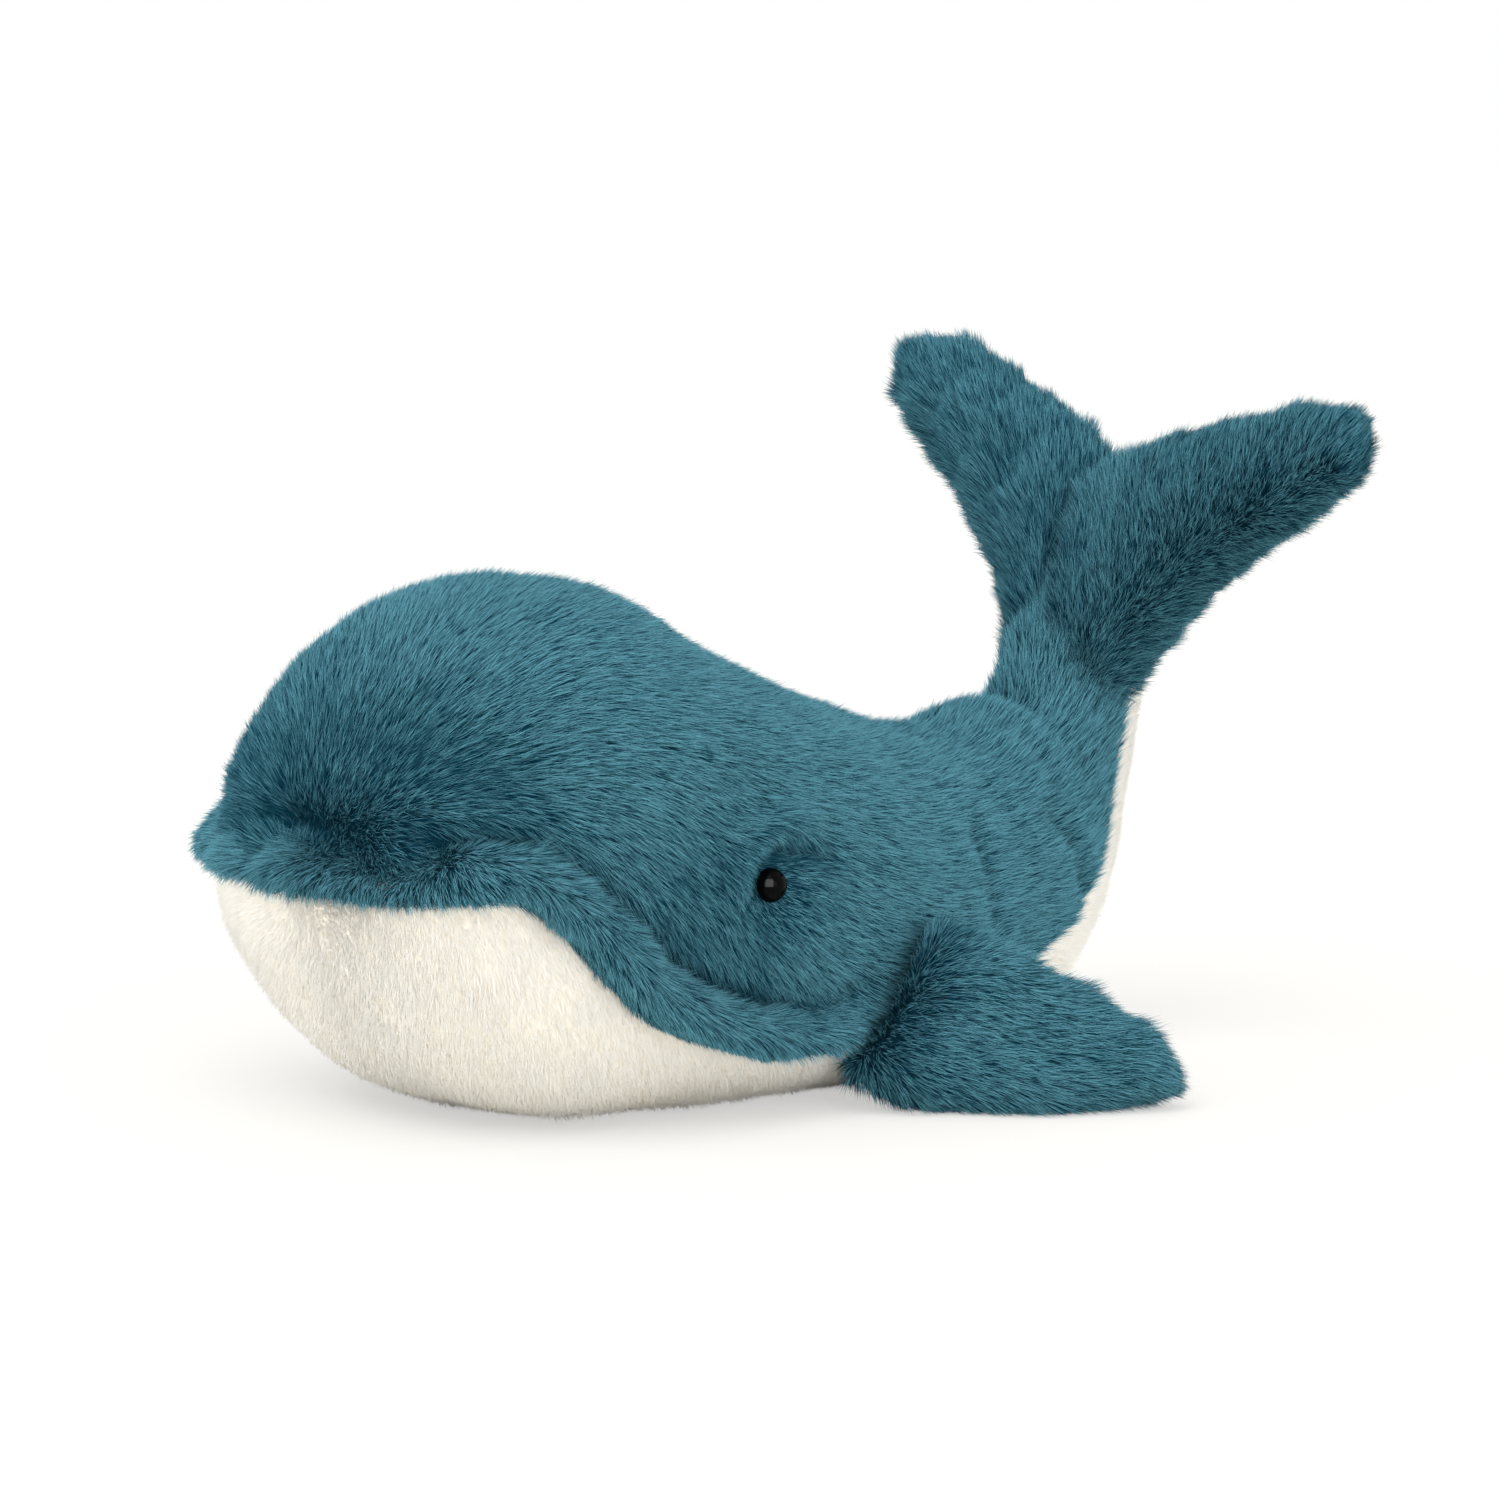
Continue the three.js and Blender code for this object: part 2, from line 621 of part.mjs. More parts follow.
// The two lobes of the fluke, each with a front, a back and a filling.
function addLobes() {
  const place = flukeFrame();
  const front = placed(behind(-overrun / 2).subtract(behind(-gap / 2)), place);
  const back = placed(behind(gap / 2), place);
  for (const [side, name] of [[1, 'left'], [-1, 'right']]) {
    const lobe = bendZone(lobeBendFrame(side), lobeBendRadius, 0);
    const cover = shell.intersect(lobe);
    addPiece(`${name}_fluke_front`, cover.intersect(front), blue);
    addPiece(`${name}_fluke_back`, cover.intersect(back), blue);
    addPiece(`${name}_fluke_stuffing`, filling.intersect(lobe), fibre);
  }
}

// The two flippers, each with an upper and a lower panel and a filling. They lie on the floor.
function addFlippers() {
  const place = flipperFrame(skin);
  const body = solid(inset(loft(rows.map(trunkRing)), -gap));
  const form = (depth) => placed(flipperForm(depth), place)
    .subtract(body)
    .subtract(below(baseFlat + flipperFloorClearance + depth));
  const cover = form(0).subtract(form(skinThickness));
  const upper = placed(below(gap / 2), place);
  const lower = placed(below(-gap / 2), place);
  addPair('flipper_top', cover.subtract(upper), blue);
  addPair('flipper_bottom', cover.intersect(lower), blue);
  addPair('flipper_stuffing', form(skinThickness + fillingGap), fibre);
}

// Notes where each bend lies and which way its axis points, in metres in the whale's own frame.
function noteBends() {
  const metres = 1 / 1000;
  const note = (name, frame, column) => {
    const axis = new THREE.Vector3().setFromMatrixColumn(frame, column);
    const at = new THREE.Vector3().setFromMatrixPosition(frame).add(whale.position);
    whale.userData[name] = { at: at.multiplyScalar(metres).toArray(), axis: axis.toArray() };
  };
  note('tailBend', tailFrame, 0);
  note('leftFlukeBend', lobeBendFrame(1), 0);
  note('rightFlukeBend', lobeBendFrame(-1), 0);
  note('leftFlipperSeam', flipperFrame(skin), 1);
}

addBody();
addTail();
addLobes();
addFlippers();
const extent = new THREE.Box3().setFromObject(whale);
const centre = extent.getCenter(new THREE.Vector3());
whale.position.set(-centre.x, -centre.y, -extent.min.z);
noteBends();

export default whale;
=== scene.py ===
import json
import math

import bmesh
import bpy
import numpy as np
from mathutils import Matrix, Vector
from mathutils.bvhtree import BVHTree
from mathutils.kdtree import KDTree

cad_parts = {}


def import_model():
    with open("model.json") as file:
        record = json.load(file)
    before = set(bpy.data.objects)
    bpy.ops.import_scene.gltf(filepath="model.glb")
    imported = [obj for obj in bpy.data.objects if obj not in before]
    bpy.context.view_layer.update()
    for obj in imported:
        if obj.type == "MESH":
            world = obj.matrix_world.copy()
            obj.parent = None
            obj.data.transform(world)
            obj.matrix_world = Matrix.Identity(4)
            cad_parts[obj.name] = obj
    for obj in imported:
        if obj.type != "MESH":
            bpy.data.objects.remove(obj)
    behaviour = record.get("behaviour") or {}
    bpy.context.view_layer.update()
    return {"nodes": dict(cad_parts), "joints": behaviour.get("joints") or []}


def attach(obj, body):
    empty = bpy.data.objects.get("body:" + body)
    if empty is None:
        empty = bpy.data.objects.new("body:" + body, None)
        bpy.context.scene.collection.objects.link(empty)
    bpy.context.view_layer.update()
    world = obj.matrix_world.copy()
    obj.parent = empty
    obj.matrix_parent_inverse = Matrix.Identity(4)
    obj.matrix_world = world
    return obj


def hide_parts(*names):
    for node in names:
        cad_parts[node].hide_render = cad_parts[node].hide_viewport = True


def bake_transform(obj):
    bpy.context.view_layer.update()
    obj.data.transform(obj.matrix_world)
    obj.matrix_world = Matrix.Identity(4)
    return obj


# A plush whale on a white floor. Its cloth covers are lofted in millimetres from nearly the same
# cuts as the solids under them, in a frame whose y runs back from the nose and whose z runs up from
# half a millimetre under the floor. Each cover then grows its pile as thin tapered tufts that follow
# the nap. Sizes are in millimetres, unless a comment says otherwise.
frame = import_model()
joints = {joint["name"]: joint for joint in frame["joints"]}
MM = 0.001

# Driving sizes of the body, the stem and the fluke.
BODY_LENGTH = 268
HEAD_HEIGHT = 139
HEAD_WIDTH = 138
STEM_SETBACK = 255.5
STEM_HEIGHT = 106
STEM_WIDTH = 37
STEM_THICKNESS = 36
TAIL_LEAN = math.radians(11)
FLUKE_SPAN = 188
FLUKE_NOTCH_HEIGHT = 51
FLUKE_TIP_HEIGHT = 80
FLUKE_ROOT_DEPTH = 12
FLUKE_OVERLAP = 3
FLUKE_THICKNESS = 33
LEFT_LOBE_TUCK = -2
RIGHT_LOBE_TUCK = 6.5
LEFT_LOBE_LIFT = -2.2
RIGHT_LOBE_LIFT = 1.2
FLUKE_TWIST = math.radians(4)
FLUKE_ROLL = math.radians(3.5)

# Driving sizes of the flippers, the lip roll and the eyes.
FLIPPER_LENGTH = 66
FLIPPER_ROOT_WIDTH = 50
FLIPPER_ROOT_THICKNESS = 18
FLIPPER_THICKNESS = 22
FLIPPER_FRONT_CURL = 8
FLIPPER_ALONG = 148
FLIPPER_HEIGHT = 27
FLIPPER_SEAM_RISE = math.radians(56)
FLIPPER_DROOP = math.radians(38)
SEAM_GAP = 0.5
LIP_WIDTH = 14
LIP_THICKNESS = 15
LIP_STANDOFF = 2
LIP_DRAW_IN = 16
LIP_NOSE_HEIGHT = 71.5
LIP_REACH = 130.5
EYE_DIAMETER = 9
EYE_DOME_HEIGHT = 4.2
EYE_ALONG = 101
EYE_HEIGHT = 63
EYE_SINK = 0.3
WASHER_REACH = 7

# Where the tail and the fluke lobes bend.
TAIL_BEND = np.array([0, 243, 80])
TAIL_BEND_LEAN = math.radians(30)
TAIL_BEND_REACH = (30, 20)
LOBE_BEND_ACROSS = 34
LOBE_BEND_HEIGHT = 45
LOBE_BEND_TURN = math.radians(58)
LOBE_BEND_REACH = 17

# Cuts through the body: y and z of the top and the bottom, half width, and the widest level, the
# seam's level and how square the lower half is.
BODY_SHARES = np.array([
    (-0.006, 0.46, -0.006, 0.46, 0, 0.5, 0.45, 0),
    (-0.01, 0.57, 0.006, 0.34, 0.37, 0.5, 0.65, 0),
    (0.004, 0.7, 0.024, 0.25, 0.64, 0.47, 0.57, 0.02),
    (0.045, 0.825, 0.065, 0.14, 0.83, 0.45, 0.52, 0.18),
    (0.115, 0.936, 0.13, 0.055, 0.945, 0.44, 0.44, 0.28),
    (0.21, 0.992, 0.21, 0.01, 0.99, 0.43, 0.345, 0.31),
    (0.32, 0.963, 0.315, 0, 1, 0.42, 0.23, 0.32),
    (0.42, 0.855, 0.43, 0, 0.97, 0.41, 0.185, 0.37),
    (0.52, 0.77, 0.56, 0, 0.89, 0.4, 0.2, 0.4),
    (0.62, 0.695, 0.68, 0.003, 0.77, 0.4, 0.23, 0.4),
    (0.7, 0.65, 0.8, 0.045, 0.62, 0.42, 0.29, 0.35),
    (0.765, 0.65, 0.9, 0.15, 0.48, 0.45, 0.29, 0.2),
    (0.81, 0.685, 0.975, 0.32, 0.36, 0.48, 0.29, 0.1),
])

# Cuts through the stem: rise, width, thickness, how far back, and the seam's level.
STEM_SHARES = (
    (-0.45, 1.1, 1.2, -0.04, 0.34),
    (0.05, 0.97, 1.03, 0, 0.38),
    (0.45, 0.8, 0.7, 0, 0.5),
)

# Cuts through half of the fluke: x and height of its upper and lower edges, and its thickness.
LOBE_SHARES = np.array([
    (0, 0, 0, 0, 1),
    (0.085, 0.14, 0.18, 0.042, 0.97),
    (0.2, 0.33, 0.255, 0.148, 0.91),
    (0.34, 0.53, 0.37, 0.307, 0.85),
    (0.49, 0.71, 0.51, 0.455, 0.79),
    (0.64, 0.86, 0.66, 0.587, 0.7),
    (0.785, 0.965, 0.8, 0.685, 0.58),
    (0.915, 0.985, 0.925, 0.77, 0.42),
    (0.99, 0.93, 0.995, 0.82, 0.27),
    (1.015, 0.9, 1.015, 0.9, 0),
])

# Cuts through a flipper: how far out, its front and back edges and its thickness, and for the
# rounded root the turn of the bead.
FLIPPER_SHARES = (
    (0.17, -0.46, 0.47, 0.94),
    (0.35, -0.37, 0.43, 1),
    (0.52, -0.28, 0.42, 0.97),
    (0.68, -0.15, 0.41, 0.88),
    (0.82, 0.02, 0.38, 0.74),
    (0.93, 0.11, 0.32, 0.52),
    (0.985, 0.17, 0.27, 0.3),
    (1, 0.22, 0.22, 0),
)
FLIPPER_ROOT_SHARES = ((0.72, -0.41, 0.36), (0.4, -0.46, 0.41), (0, -0.49, 0.44))

# The middle of the lip roll, from the flipper to the nose: how far along, how high, how thick.
LIP_SHARES = (
    (1, 0.175, 0.4),
    (0.914, 0.165, 0.7),
    (0.77, 0.176, 0.82),
    (0.616, 0.224, 0.9),
    (0.472, 0.292, 1),
    (0.359, 0.405, 0.97),
    (0.226, 0.51, 0.85),
    (0.092, 0.515, 0.98),
)
LIP_NOSE_SIZE = 1

# The ridge and the crease over an eye and the folds of the side, as y and z on the skin.
BROW_RIDGE = ((88, 66), (93, 73), (102, 77.5), (114, 76.5))
BROW_CREASE = ((97, 68.5), (104, 71.5), (112, 71), (121, 68))
SIDE_FOLDS = (((187, 66), (189, 55), (188, 42)), ((222, 66), (230, 56), (231, 46)))

# What is pressed into the trunk or stands out of it: its width, then its depth or height.
EYE_SOCKET = (7.5, 2.4)
EYE_RING = (6, 1.8)
EYE_RING_REACH = 15
RIDGE_RISE = (4, 3)
CREASE_DENT = (3, 3.2)
FOLD_DENT = (3.5, 3.2)
OVER_LIP_DENT = (4.5, 3.8)
CREASE_LIFT = 1
BASE_FADE = (0, 12)

# How deep a dent may go over a washer, and how much more a few millimetres beyond it.
DENT_LIMIT = 1.3
DENT_MORE = 4
DENT_FADE = 3

# The wrinkles where the back turns up into the stem, with ranges along y and the least z.
WRINKLE_DEPTH = 0.45
WRINKLE_SPACING = 15
WRINKLE_SLANT = 0.55
WRINKLE_WANDER = 0.8
WRINKLES_START = (185, 205)
WRINKLES_END = (232, 245)
WRINKLES_ABOVE = 60

# How uneven the filling is, and the size and the seed of its lumps.
TRUNK_UNEVEN = 0.7
TRUNK_LUMPS = (46, 3)
WRINKLE_LUMPS = (40, 5)
LOBE_UNEVEN = 0.3
LOBE_PLUMPNESS = 0.4
LOBE_PLUMP_FROM = (2, 12)
LOBE_LUMPS = (32, 11)
LOBE_LUMPS_APART = 50
FLIPPER_UNEVEN = 0.5
FLIPPER_LUMPS = (26, 17)
LIP_UNEVEN = 0.6
LIP_LUMPS = (22, 23)

# The grooves down the middle of the fluke: width and share of the thickness, then the heights
# between which each sets in. The skew puts the tuck of a lobe's lower edge nearer its root.
FLUKE_GROOVES = (((5, 0.25), (8, 30)), ((2.6, 0.45), (6, 20)))
TUCK_SKEW = 0.6

# The share of the lip's length that rounds each end, and how far from the middle its draw-in fades.
LIP_END_SHARE = 0.012
LIP_DRAWN_WITHIN = (34, 84)

# An eye: its edge, its shank as radius and height, and a quarter turn that stops short of a point.
EYE_EDGE_ROUND = 0.35
EYE_EDGE_LEVEL = 0.1
EYE_SHANK = ((0, -10), (1.2, -10), (1.5, -9.6), (1.5, -1.4), (1.9, -0.9), (3.6, -0.6))
QUARTER_TURN = 1.57

# How finely the covers are drawn.
ROWS_PER_CUT = 14
BACK_COLUMNS = 64
BELLY_COLUMNS = 30
LOBE_ROWS = 90
LOBE_COLUMNS = 72
FLIPPER_ROWS = 70
FLIPPER_COLUMNS = 64
LIP_ROWS = 260
LIP_COLUMNS = 40
EYE_COLUMNS = 48
RAY_START = 400

# The pile: tufts to a square millimetre, and how wide each is. Guard hairs are its longer, paler
# and thicker hairs.
DENSITY = 8
TUFT_WIDTH = 0.24
TUFTS_A_PIECE = 62000
GUARD_SHARE = 0.35

# How the tufts of one coat differ, as shares of the coat's own values or in radians.
REACH_SPREAD = (0.82, 1.12)
TILT_SPREAD = 0.17
TURN_SPREAD = 0.2
TONE_SPREAD = 0.16
GATHER_SPREAD = (0.6, 1.2)
LOCK_TONE_SPREAD = 0.14
WIDTH_SPREAD = (0.75, 1.25)

# Guard hairs first, then the rest.
REACH_OF_KIND = (1.12, 0.84)
TILT_OF_KIND = (0.1, 0)
GATHER_OF_KIND = (0.7, 1)
WIDTH_OF_KIND = (1.1, 0.95)

# How a tuft stands in the cloth and takes the light.
ROOT_DEPTH = 0.3
ROOT_FACING = (0.8, 0.45)
TIP_FACING = (0.85, 0.25)
TONE_ENDS = (0.02, 0.98)
BAKE_REACH = 0.01

# Least heights, which keep the pile, the trunk and the flippers off the floor.
PILE_LEAST = 0.55
TRUNK_LEAST = 0.7
FLIPPER_LEAST = 1.2

# The coats: length, lean in radians and tone, most with how much the lumps of the coat change it.
# The fluke's, the flippers' and the lip's tones lie below the back's as painted shade; the right lobe
# is painted darker than the left, and the lip's front a little paler as painted light.
BACK_PILE = 6.2
STEM_PILE = 1.2
EYE_PILE = 0.35
EYE_PILE_REACH = (4, 18)
EYE_CLEAR = 4.8
BACK_LEAN = (0.33, 0.07)
TRUNK_LUMP_TONE = 0.06
BELLY_PILE = (3.2, 0.3)
BELLY_LEAN = (0.5, 0.06)
BELLY_TONE = (0.72, 0.06)
FLUKE_PILE = (7.2, 0.8)
FLUKE_LEAN = (0.48, 0.12)
FLUKE_TONE = 0.04
FLUKE_LUMP_TONE = 0.08
LOBE_PAINTED_SHADE_APART = 0.06
FLIPPER_PILE = (6.4, 0.6)
FLIPPER_LEAN = (0.4, 0.1)
FLIPPER_TONE = (0.3, 0.08)
LIP_PILE = (6, 0.5)
LIP_LEAN = (0.42, 0.1)
LIP_TONE = 0.42
LIP_FRONT_PAINTED_LIGHT = 0.03
LIP_LUMP_TONE = 0.08
BLUE_CLOTH_TONE = 0.3
CREAM_CLOTH_TONE = 0.6

# The lumps of each coat: coarse and fine ones as size and seed, and the share of the fine ones.
TRUNK_COAT_LUMPS = ((30, 31), (12, 37), 0.7)
FLUKE_COAT_LUMPS = ((22, 41), (9, 43), 0.8)
FLIPPER_COAT_LUMPS = ((22, 61), (9, 67), 0.8)
LIP_COAT_LUMPS = ((20, 81), (8, 83), 0.8)

# The nap: how much it falls or runs back, and the ranges between which that changes.
NAP_FALL = 0.12
CHEEK_NAP_FALL = 0.6
CHEEK_NAP_BACK = (120, 190)
CHEEK_NAP_TOP = (70, 105)
EYE_NAP = (13, 1.4)
BELLY_PARTING = (6, 66)
BELLY_NAP_BACK = (1.3, 0.85)
FLUKE_NAP_DEPTH = 6
LIP_PARTING = (0, 16)
LIP_NAP_BACK = 0.6
LIP_NAP_OUT = 0.2

# Where the back is darker: how much, and the ranges along y and up z. On the brow, round the eye,
# in the cheek's hollow, on the crown and in the folds this is painted shade; the stem is darker too.
BACK_TONE = 0.5
BROW_PAINTED_SHADE = 0.76
BROW_BACK = (10, 76)
BROW_FOOT = (56, 70)
BROW_TOP = (98, 134)
CHEEK_PAINTED_SHADE = 0.62
CHEEK_BACK = (92, 112)
CHEEK_FRONT = (45, 70)
CHEEK_TOP = (66, 88)
EYE_PAINTED_SHADE = 0.52
EYE_PAINTED_SHADE_REACH = 32
CROWN_PAINTED_SHADE = 0.06
CROWN = (105, 128)
STEM_SHADE = 0.14
STEM_COAT_BACK = (205, 250)
STEM_COAT_UP = (70, 100)
FOLD_PAINTED_SHADE = 0.25
BROW_CREASE_PAINTED_SHADE = 0.5
FOLD_PAINTED_SHADE_WIDTH = 4.5

# The creases over the lip and down the fluke: width and weight, and how short the pile is and how much
# darker it is painted there, as shade in the crease.
WIDE_CREASE = (4, 1)
NARROW_CREASE = (2, 0.8)
CREASE_SHORTER = 0.3
CREASE_PAINTED_SHADE = 0.35
FLUKE_CREASE_WIDTH = 2.6
FLUKE_CREASE_START = (6, 18)
FLUKE_CREASE_SHORTER = 0.5
FLUKE_CREASE_PAINTED_SHADE = 0.6
FLUKE_SEAM_BARE = -0.5

# The pile under the whale and at the flippers' seams lies flatter or thinner, and at the seams it is
# painted darker, as shade. A facing is how squarely the skin faces one way, where 1 is squarely.
FLOOR_LEAN = 0.5
FLOOR_LEAN_BELOW = (1, 9)
LEVEL_FACING = 0.9
RESTING_FACING = (0.93, 0.98)
RESTING_BELOW = 6
BELLY_PRESSED = 0.85
SEAM_LEAN = 0.4
SEAM_LEAN_WITHIN = (-6, 9)
SEAM_PAINTED_SHADE = 0.22
SEAM_PAINTED_SHADE_WITHIN = (-5, 10)
FLIPPER_PRESSED = 0.7
FLIPPER_RESTS_BELOW = 2

# The lip's coat is shorter under it, and barer where it turns in to the face, where it is also painted
# darker, as shade.
LIP_UNDER_FACING = (0.2, 0.8)
LIP_UNDER_SHORTER = 0.5
LIP_FRONT_START = (12, 30)
LIP_FRONT_END = (50, 64)
LIP_INNER_PAINTED_SHADE = 0.25
LIP_PAINTED_SHADE_FACING = (-0.3, 0.2)
LIP_INNER_BARE = 0.9
LIP_BARE_FACING = (0, 0.25)

# Materials. The roots' painted shade, standing in for the shade deep in the pile, reaches up a share of each
# tuft.
PILE_ROUGHNESS = 0.85
SHEEN_ROUGHNESS = 0.45
ROOT_PAINTED_SHADE_REACH = 0.6
EYE_BLACK = (0.002, 0.002, 0.0022)
EYE_SPECULAR = 0.03
WASHER_ROUGHNESS = 0.5

# The floor and the room. The floor's half width is in metres.
FLOOR_WHITE = (0.98, 0.96, 0.9)
FLOOR_SEEN = (0.375, 0.365, 0.345)
FLOOR_GLOW = (1, 0.993, 0.985)
FLOOR_GLOW_STRENGTH = 0.53
FLOOR_HALF = 15
ROOM_LIGHT = 0.98

# The camera: degrees round and up, the point it looks at, and in metres its distance and clip.
CAMERA_AZIMUTH = 54
CAMERA_ELEVATION = 7
CAMERA_TARGET = np.array([0, 143.5, 88])
CAMERA_DISTANCE = 1.4
CAMERA_CLIP = 0.01
CAMERA_LENS = 124.44

# How near doubled points of a mesh are joined, and how thin its slivers are.
JOIN_COVER = 0.02
JOIN_EYE = 0.01
SLIVER = 0.01


def linear(red, green, blue):
    """A colour picked on a screen, as a shader takes it."""
    return tuple(((c / 255 + 0.055) / 1.055) ** 2.4 if c > 10 else c / 3294 for c in (red, green, blue))


def unit(vectors):
    """Vectors of length one."""
    return vectors / np.maximum(np.linalg.norm(vectors, axis=-1, keepdims=True), 1e-9)


def rise_between(value, low, high):
    """0 below low, 1 above high, and a smooth rise between."""
    share = np.clip((value - low) / (high - low), 0, 1)
    return share * share * (3 - 2 * share)


def spans(table, count):
    """The span of a table that each of some evenly spread rows lies in, and how far along it."""
    ends = np.vstack([2 * table[0] - table[1], table, 2 * table[-1] - table[-2]])
    at = np.linspace(0, len(table) - 1, count)
    first = np.minimum(at.astype(int), len(table) - 2)
    return ends, first, (at - first)[:, None]


def smooth_rows(table, count):
    """Evenly spread rows on a smooth curve through the rows of a table."""
    ends, first, share = spans(np.asarray(table, float), count)
    a, b, c, d = (ends[first + k] for k in range(4))
    cubic = 3 * (b - c) + d - a
    return b + 0.5 * share * (c - a + share * (2 * a - 5 * b + 4 * c - d + share * cubic))


def path_points(corners, count):
    """Points on a centripetal curve through corners, evenly spread by corner."""
    ends, first, share = spans(np.asarray(corners, float), count)
    steps = np.sqrt(np.linalg.norm(np.diff(ends, axis=0), axis=1))[:, None]
    a, b, c, d = (ends[first + k] for k in range(4))
    before, here, after = (steps[first + k] for k in range(3))
    leave = ((b - a) / before - (c - a) / (before + here) + (c - b) / here) * here
    reach = ((c - b) / here - (d - b) / (here + after) + (d - c) / after) * here
    square = -3 * b + 3 * c - 2 * leave - reach
    cube = 2 * b - 2 * c + leave + reach
    return b + share * (leave + share * (square + share * cube))


def waves(points, size, seed, count=14):
    """Soft lumps about as large as size, between about -1 and 1."""
    rng = np.random.default_rng(seed)
    ways = unit(rng.normal(size=(count, 3))) * (2 * math.pi / size) * rng.uniform(0.6, 1.4, (count, 1))
    return np.sin(points @ ways.T + rng.uniform(0, 2 * math.pi, count)).sum(1) / math.sqrt(count)


def lumps_on(points, size, seed):
    """Soft lumps over a grid of points."""
    return waves(points.reshape(-1, 3), size, seed).reshape(points.shape[:-1])


def mixed_lumps(points, coarse, fine, share):
    """Coarse lumps with a share of fine ones, each given as a size and a seed."""
    return lumps_on(points, *coarse) + share * lumps_on(points, *fine)


class Cover:
    """A grid of points over a form. Its rows run along the form and its columns close round it."""

    def __init__(self, points):
        self.points = points
        self.shape()

    def shape(self):
        """Works out which way the skin faces, and how it runs along and round."""
        p = self.points
        self.along = unit(np.gradient(p, axis=0))
        around = np.roll(p, -1, 1) - np.roll(p, 1, 1)
        self.around = unit(around)
        normal = np.cross(self.along, around)
        self.turned = (normal * (p - p.mean(1, keepdims=True))).sum() < 0
        if self.turned:
            normal = -normal
        thin = np.linalg.norm(normal, axis=-1) < 1e-6
        normal[thin] = (p - p.mean((0, 1)))[thin]
        self.normal = unit(normal)

    def push(self, amount):
        """Moves the skin out by an amount, or in by a negative one."""
        self.points = self.points + self.normal * amount[..., None]
        self.shape()

    def faces(self, columns):
        """The quads between some neighbouring columns, facing out."""
        rows, count = self.points.shape[:2]
        i = np.arange(rows - 1)[:, None]
        j = np.asarray(columns)[None, :]
        k = (j + 1) % count
        quads = np.stack([i * count + j, (i + 1) * count + j, (i + 1) * count + k, i * count + k], -1)
        quads = quads.reshape(-1, 4)
        return quads[:, ::-1] if self.turned else quads


NOSE = np.array(joints["tail_bend"]["pos_m"]) - TAIL_BEND * MM


def to_row(points):
    """Points of the nose frame in millimetres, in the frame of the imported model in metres."""
    return points * MM + NOSE


def mesh_object(name, points, faces, material):
    """A mesh object from arrays of points in metres and of faces."""
    mesh = bpy.data.meshes.new(name)
    corners = faces.shape[1]
    mesh.vertices.add(len(points))
    mesh.vertices.foreach_set("co", np.ascontiguousarray(points, np.float32).ravel())
    mesh.loops.add(faces.size)
    mesh.loops.foreach_set("vertex_index", np.ascontiguousarray(faces, np.int32).ravel())
    mesh.polygons.add(len(faces))
    mesh.polygons.foreach_set("loop_start", np.arange(0, faces.size, corners, dtype=np.int32))
    mesh.polygons.foreach_set("use_smooth", np.ones(len(faces), bool))
    mesh.update(calc_edges=True)
    mesh.materials.append(material)
    made = bpy.data.objects.new(name, mesh)
    bpy.context.scene.collection.objects.link(made)
    return made


def cover_object(name, cover, columns, material):
    """The cloth of some columns of a cover, with its doubled points joined."""
    faces = cover.faces(columns)
    used, renumbered = np.unique(faces, return_inverse=True)
    points = to_row(cover.points.reshape(-1, 3)[used])
    made = mesh_object(name, points, renumbered.reshape(faces.shape), material)
    draft = bmesh.new()
    draft.from_mesh(made.data)
    bmesh.ops.remove_doubles(draft, verts=draft.verts, dist=JOIN_COVER * MM)
    bmesh.ops.dissolve_degenerate(draft, edges=draft.edges, dist=SLIVER * MM)
    draft.to_mesh(made.data)
    draft.free()
    return made


# The trunk: head, body and stem in one cover.


def squarer(wave, square):
    """A wave whose curve is pressed towards a square's."""
    return np.sign(wave) * np.abs(wave) ** (1 - square)


def trunk_table():
    """The cuts of the body and of the stem, in millimetres."""
    scale = np.array([BODY_LENGTH, HEAD_HEIGHT, BODY_LENGTH, HEAD_HEIGHT, HEAD_WIDTH / 2, 1, 1, 1])
    stem = []
    for rise, width, thickness, back, seam in STEM_SHARES:
        y = STEM_SETBACK + rise * STEM_THICKNESS * math.sin(TAIL_LEAN) + back * STEM_THICKNESS
        z = STEM_HEIGHT + rise * STEM_THICKNESS * math.cos(TAIL_LEAN)
        across = thickness * STEM_THICKNESS / 2
        lean = np.array([math.cos(TAIL_LEAN), -math.sin(TAIL_LEAN)]) * across
        half = width * STEM_WIDTH / 2
        stem.append((y - lean[0], z - lean[1], y + lean[0], z + lean[1], half, 0.5, seam, 0))
    return np.vstack([BODY_SHARES * scale, stem])


def trunk_cover():
    """The skin of the trunk: the left back panel's columns, the belly's, then the right back's."""
    table = trunk_table()
    rows = smooth_rows(table, ROWS_PER_CUT * (len(table) - 1) + 1)
    top_y, top_z, bottom_y, bottom_z, half, widest, seam, square = rows.T[:, :, None]
    lower = np.clip(1 - seam / widest, 0, 1) ** (1 / (1 - square))
    upper = np.clip((seam - widest) / (1 - widest), 0, 1)
    seam_angle = np.arccos(np.clip(np.where(seam < widest, -lower, upper), -1, 1))
    back = np.linspace(0, 1, BACK_COLUMNS + 1)[None, :] * seam_angle
    belly = seam_angle + np.linspace(0, 1, BELLY_COLUMNS + 1)[None, 1:] * (math.pi - seam_angle)
    left = np.hstack([back, belly])
    angle = np.hstack([left, 2 * math.pi - left[:, -2:0:-1]])
    cosine = np.cos(angle)
    boxy = np.where(cosine < 0, square, 0)
    level = widest + (np.where(cosine > 0, 1, 0) - widest) * np.abs(squarer(cosine, boxy))
    x = half * squarer(np.sin(angle), boxy)
    y = bottom_y + (top_y - bottom_y) * level
    z = bottom_z + (top_z - bottom_z) * level
    return Cover(np.stack([x, y, z], -1))


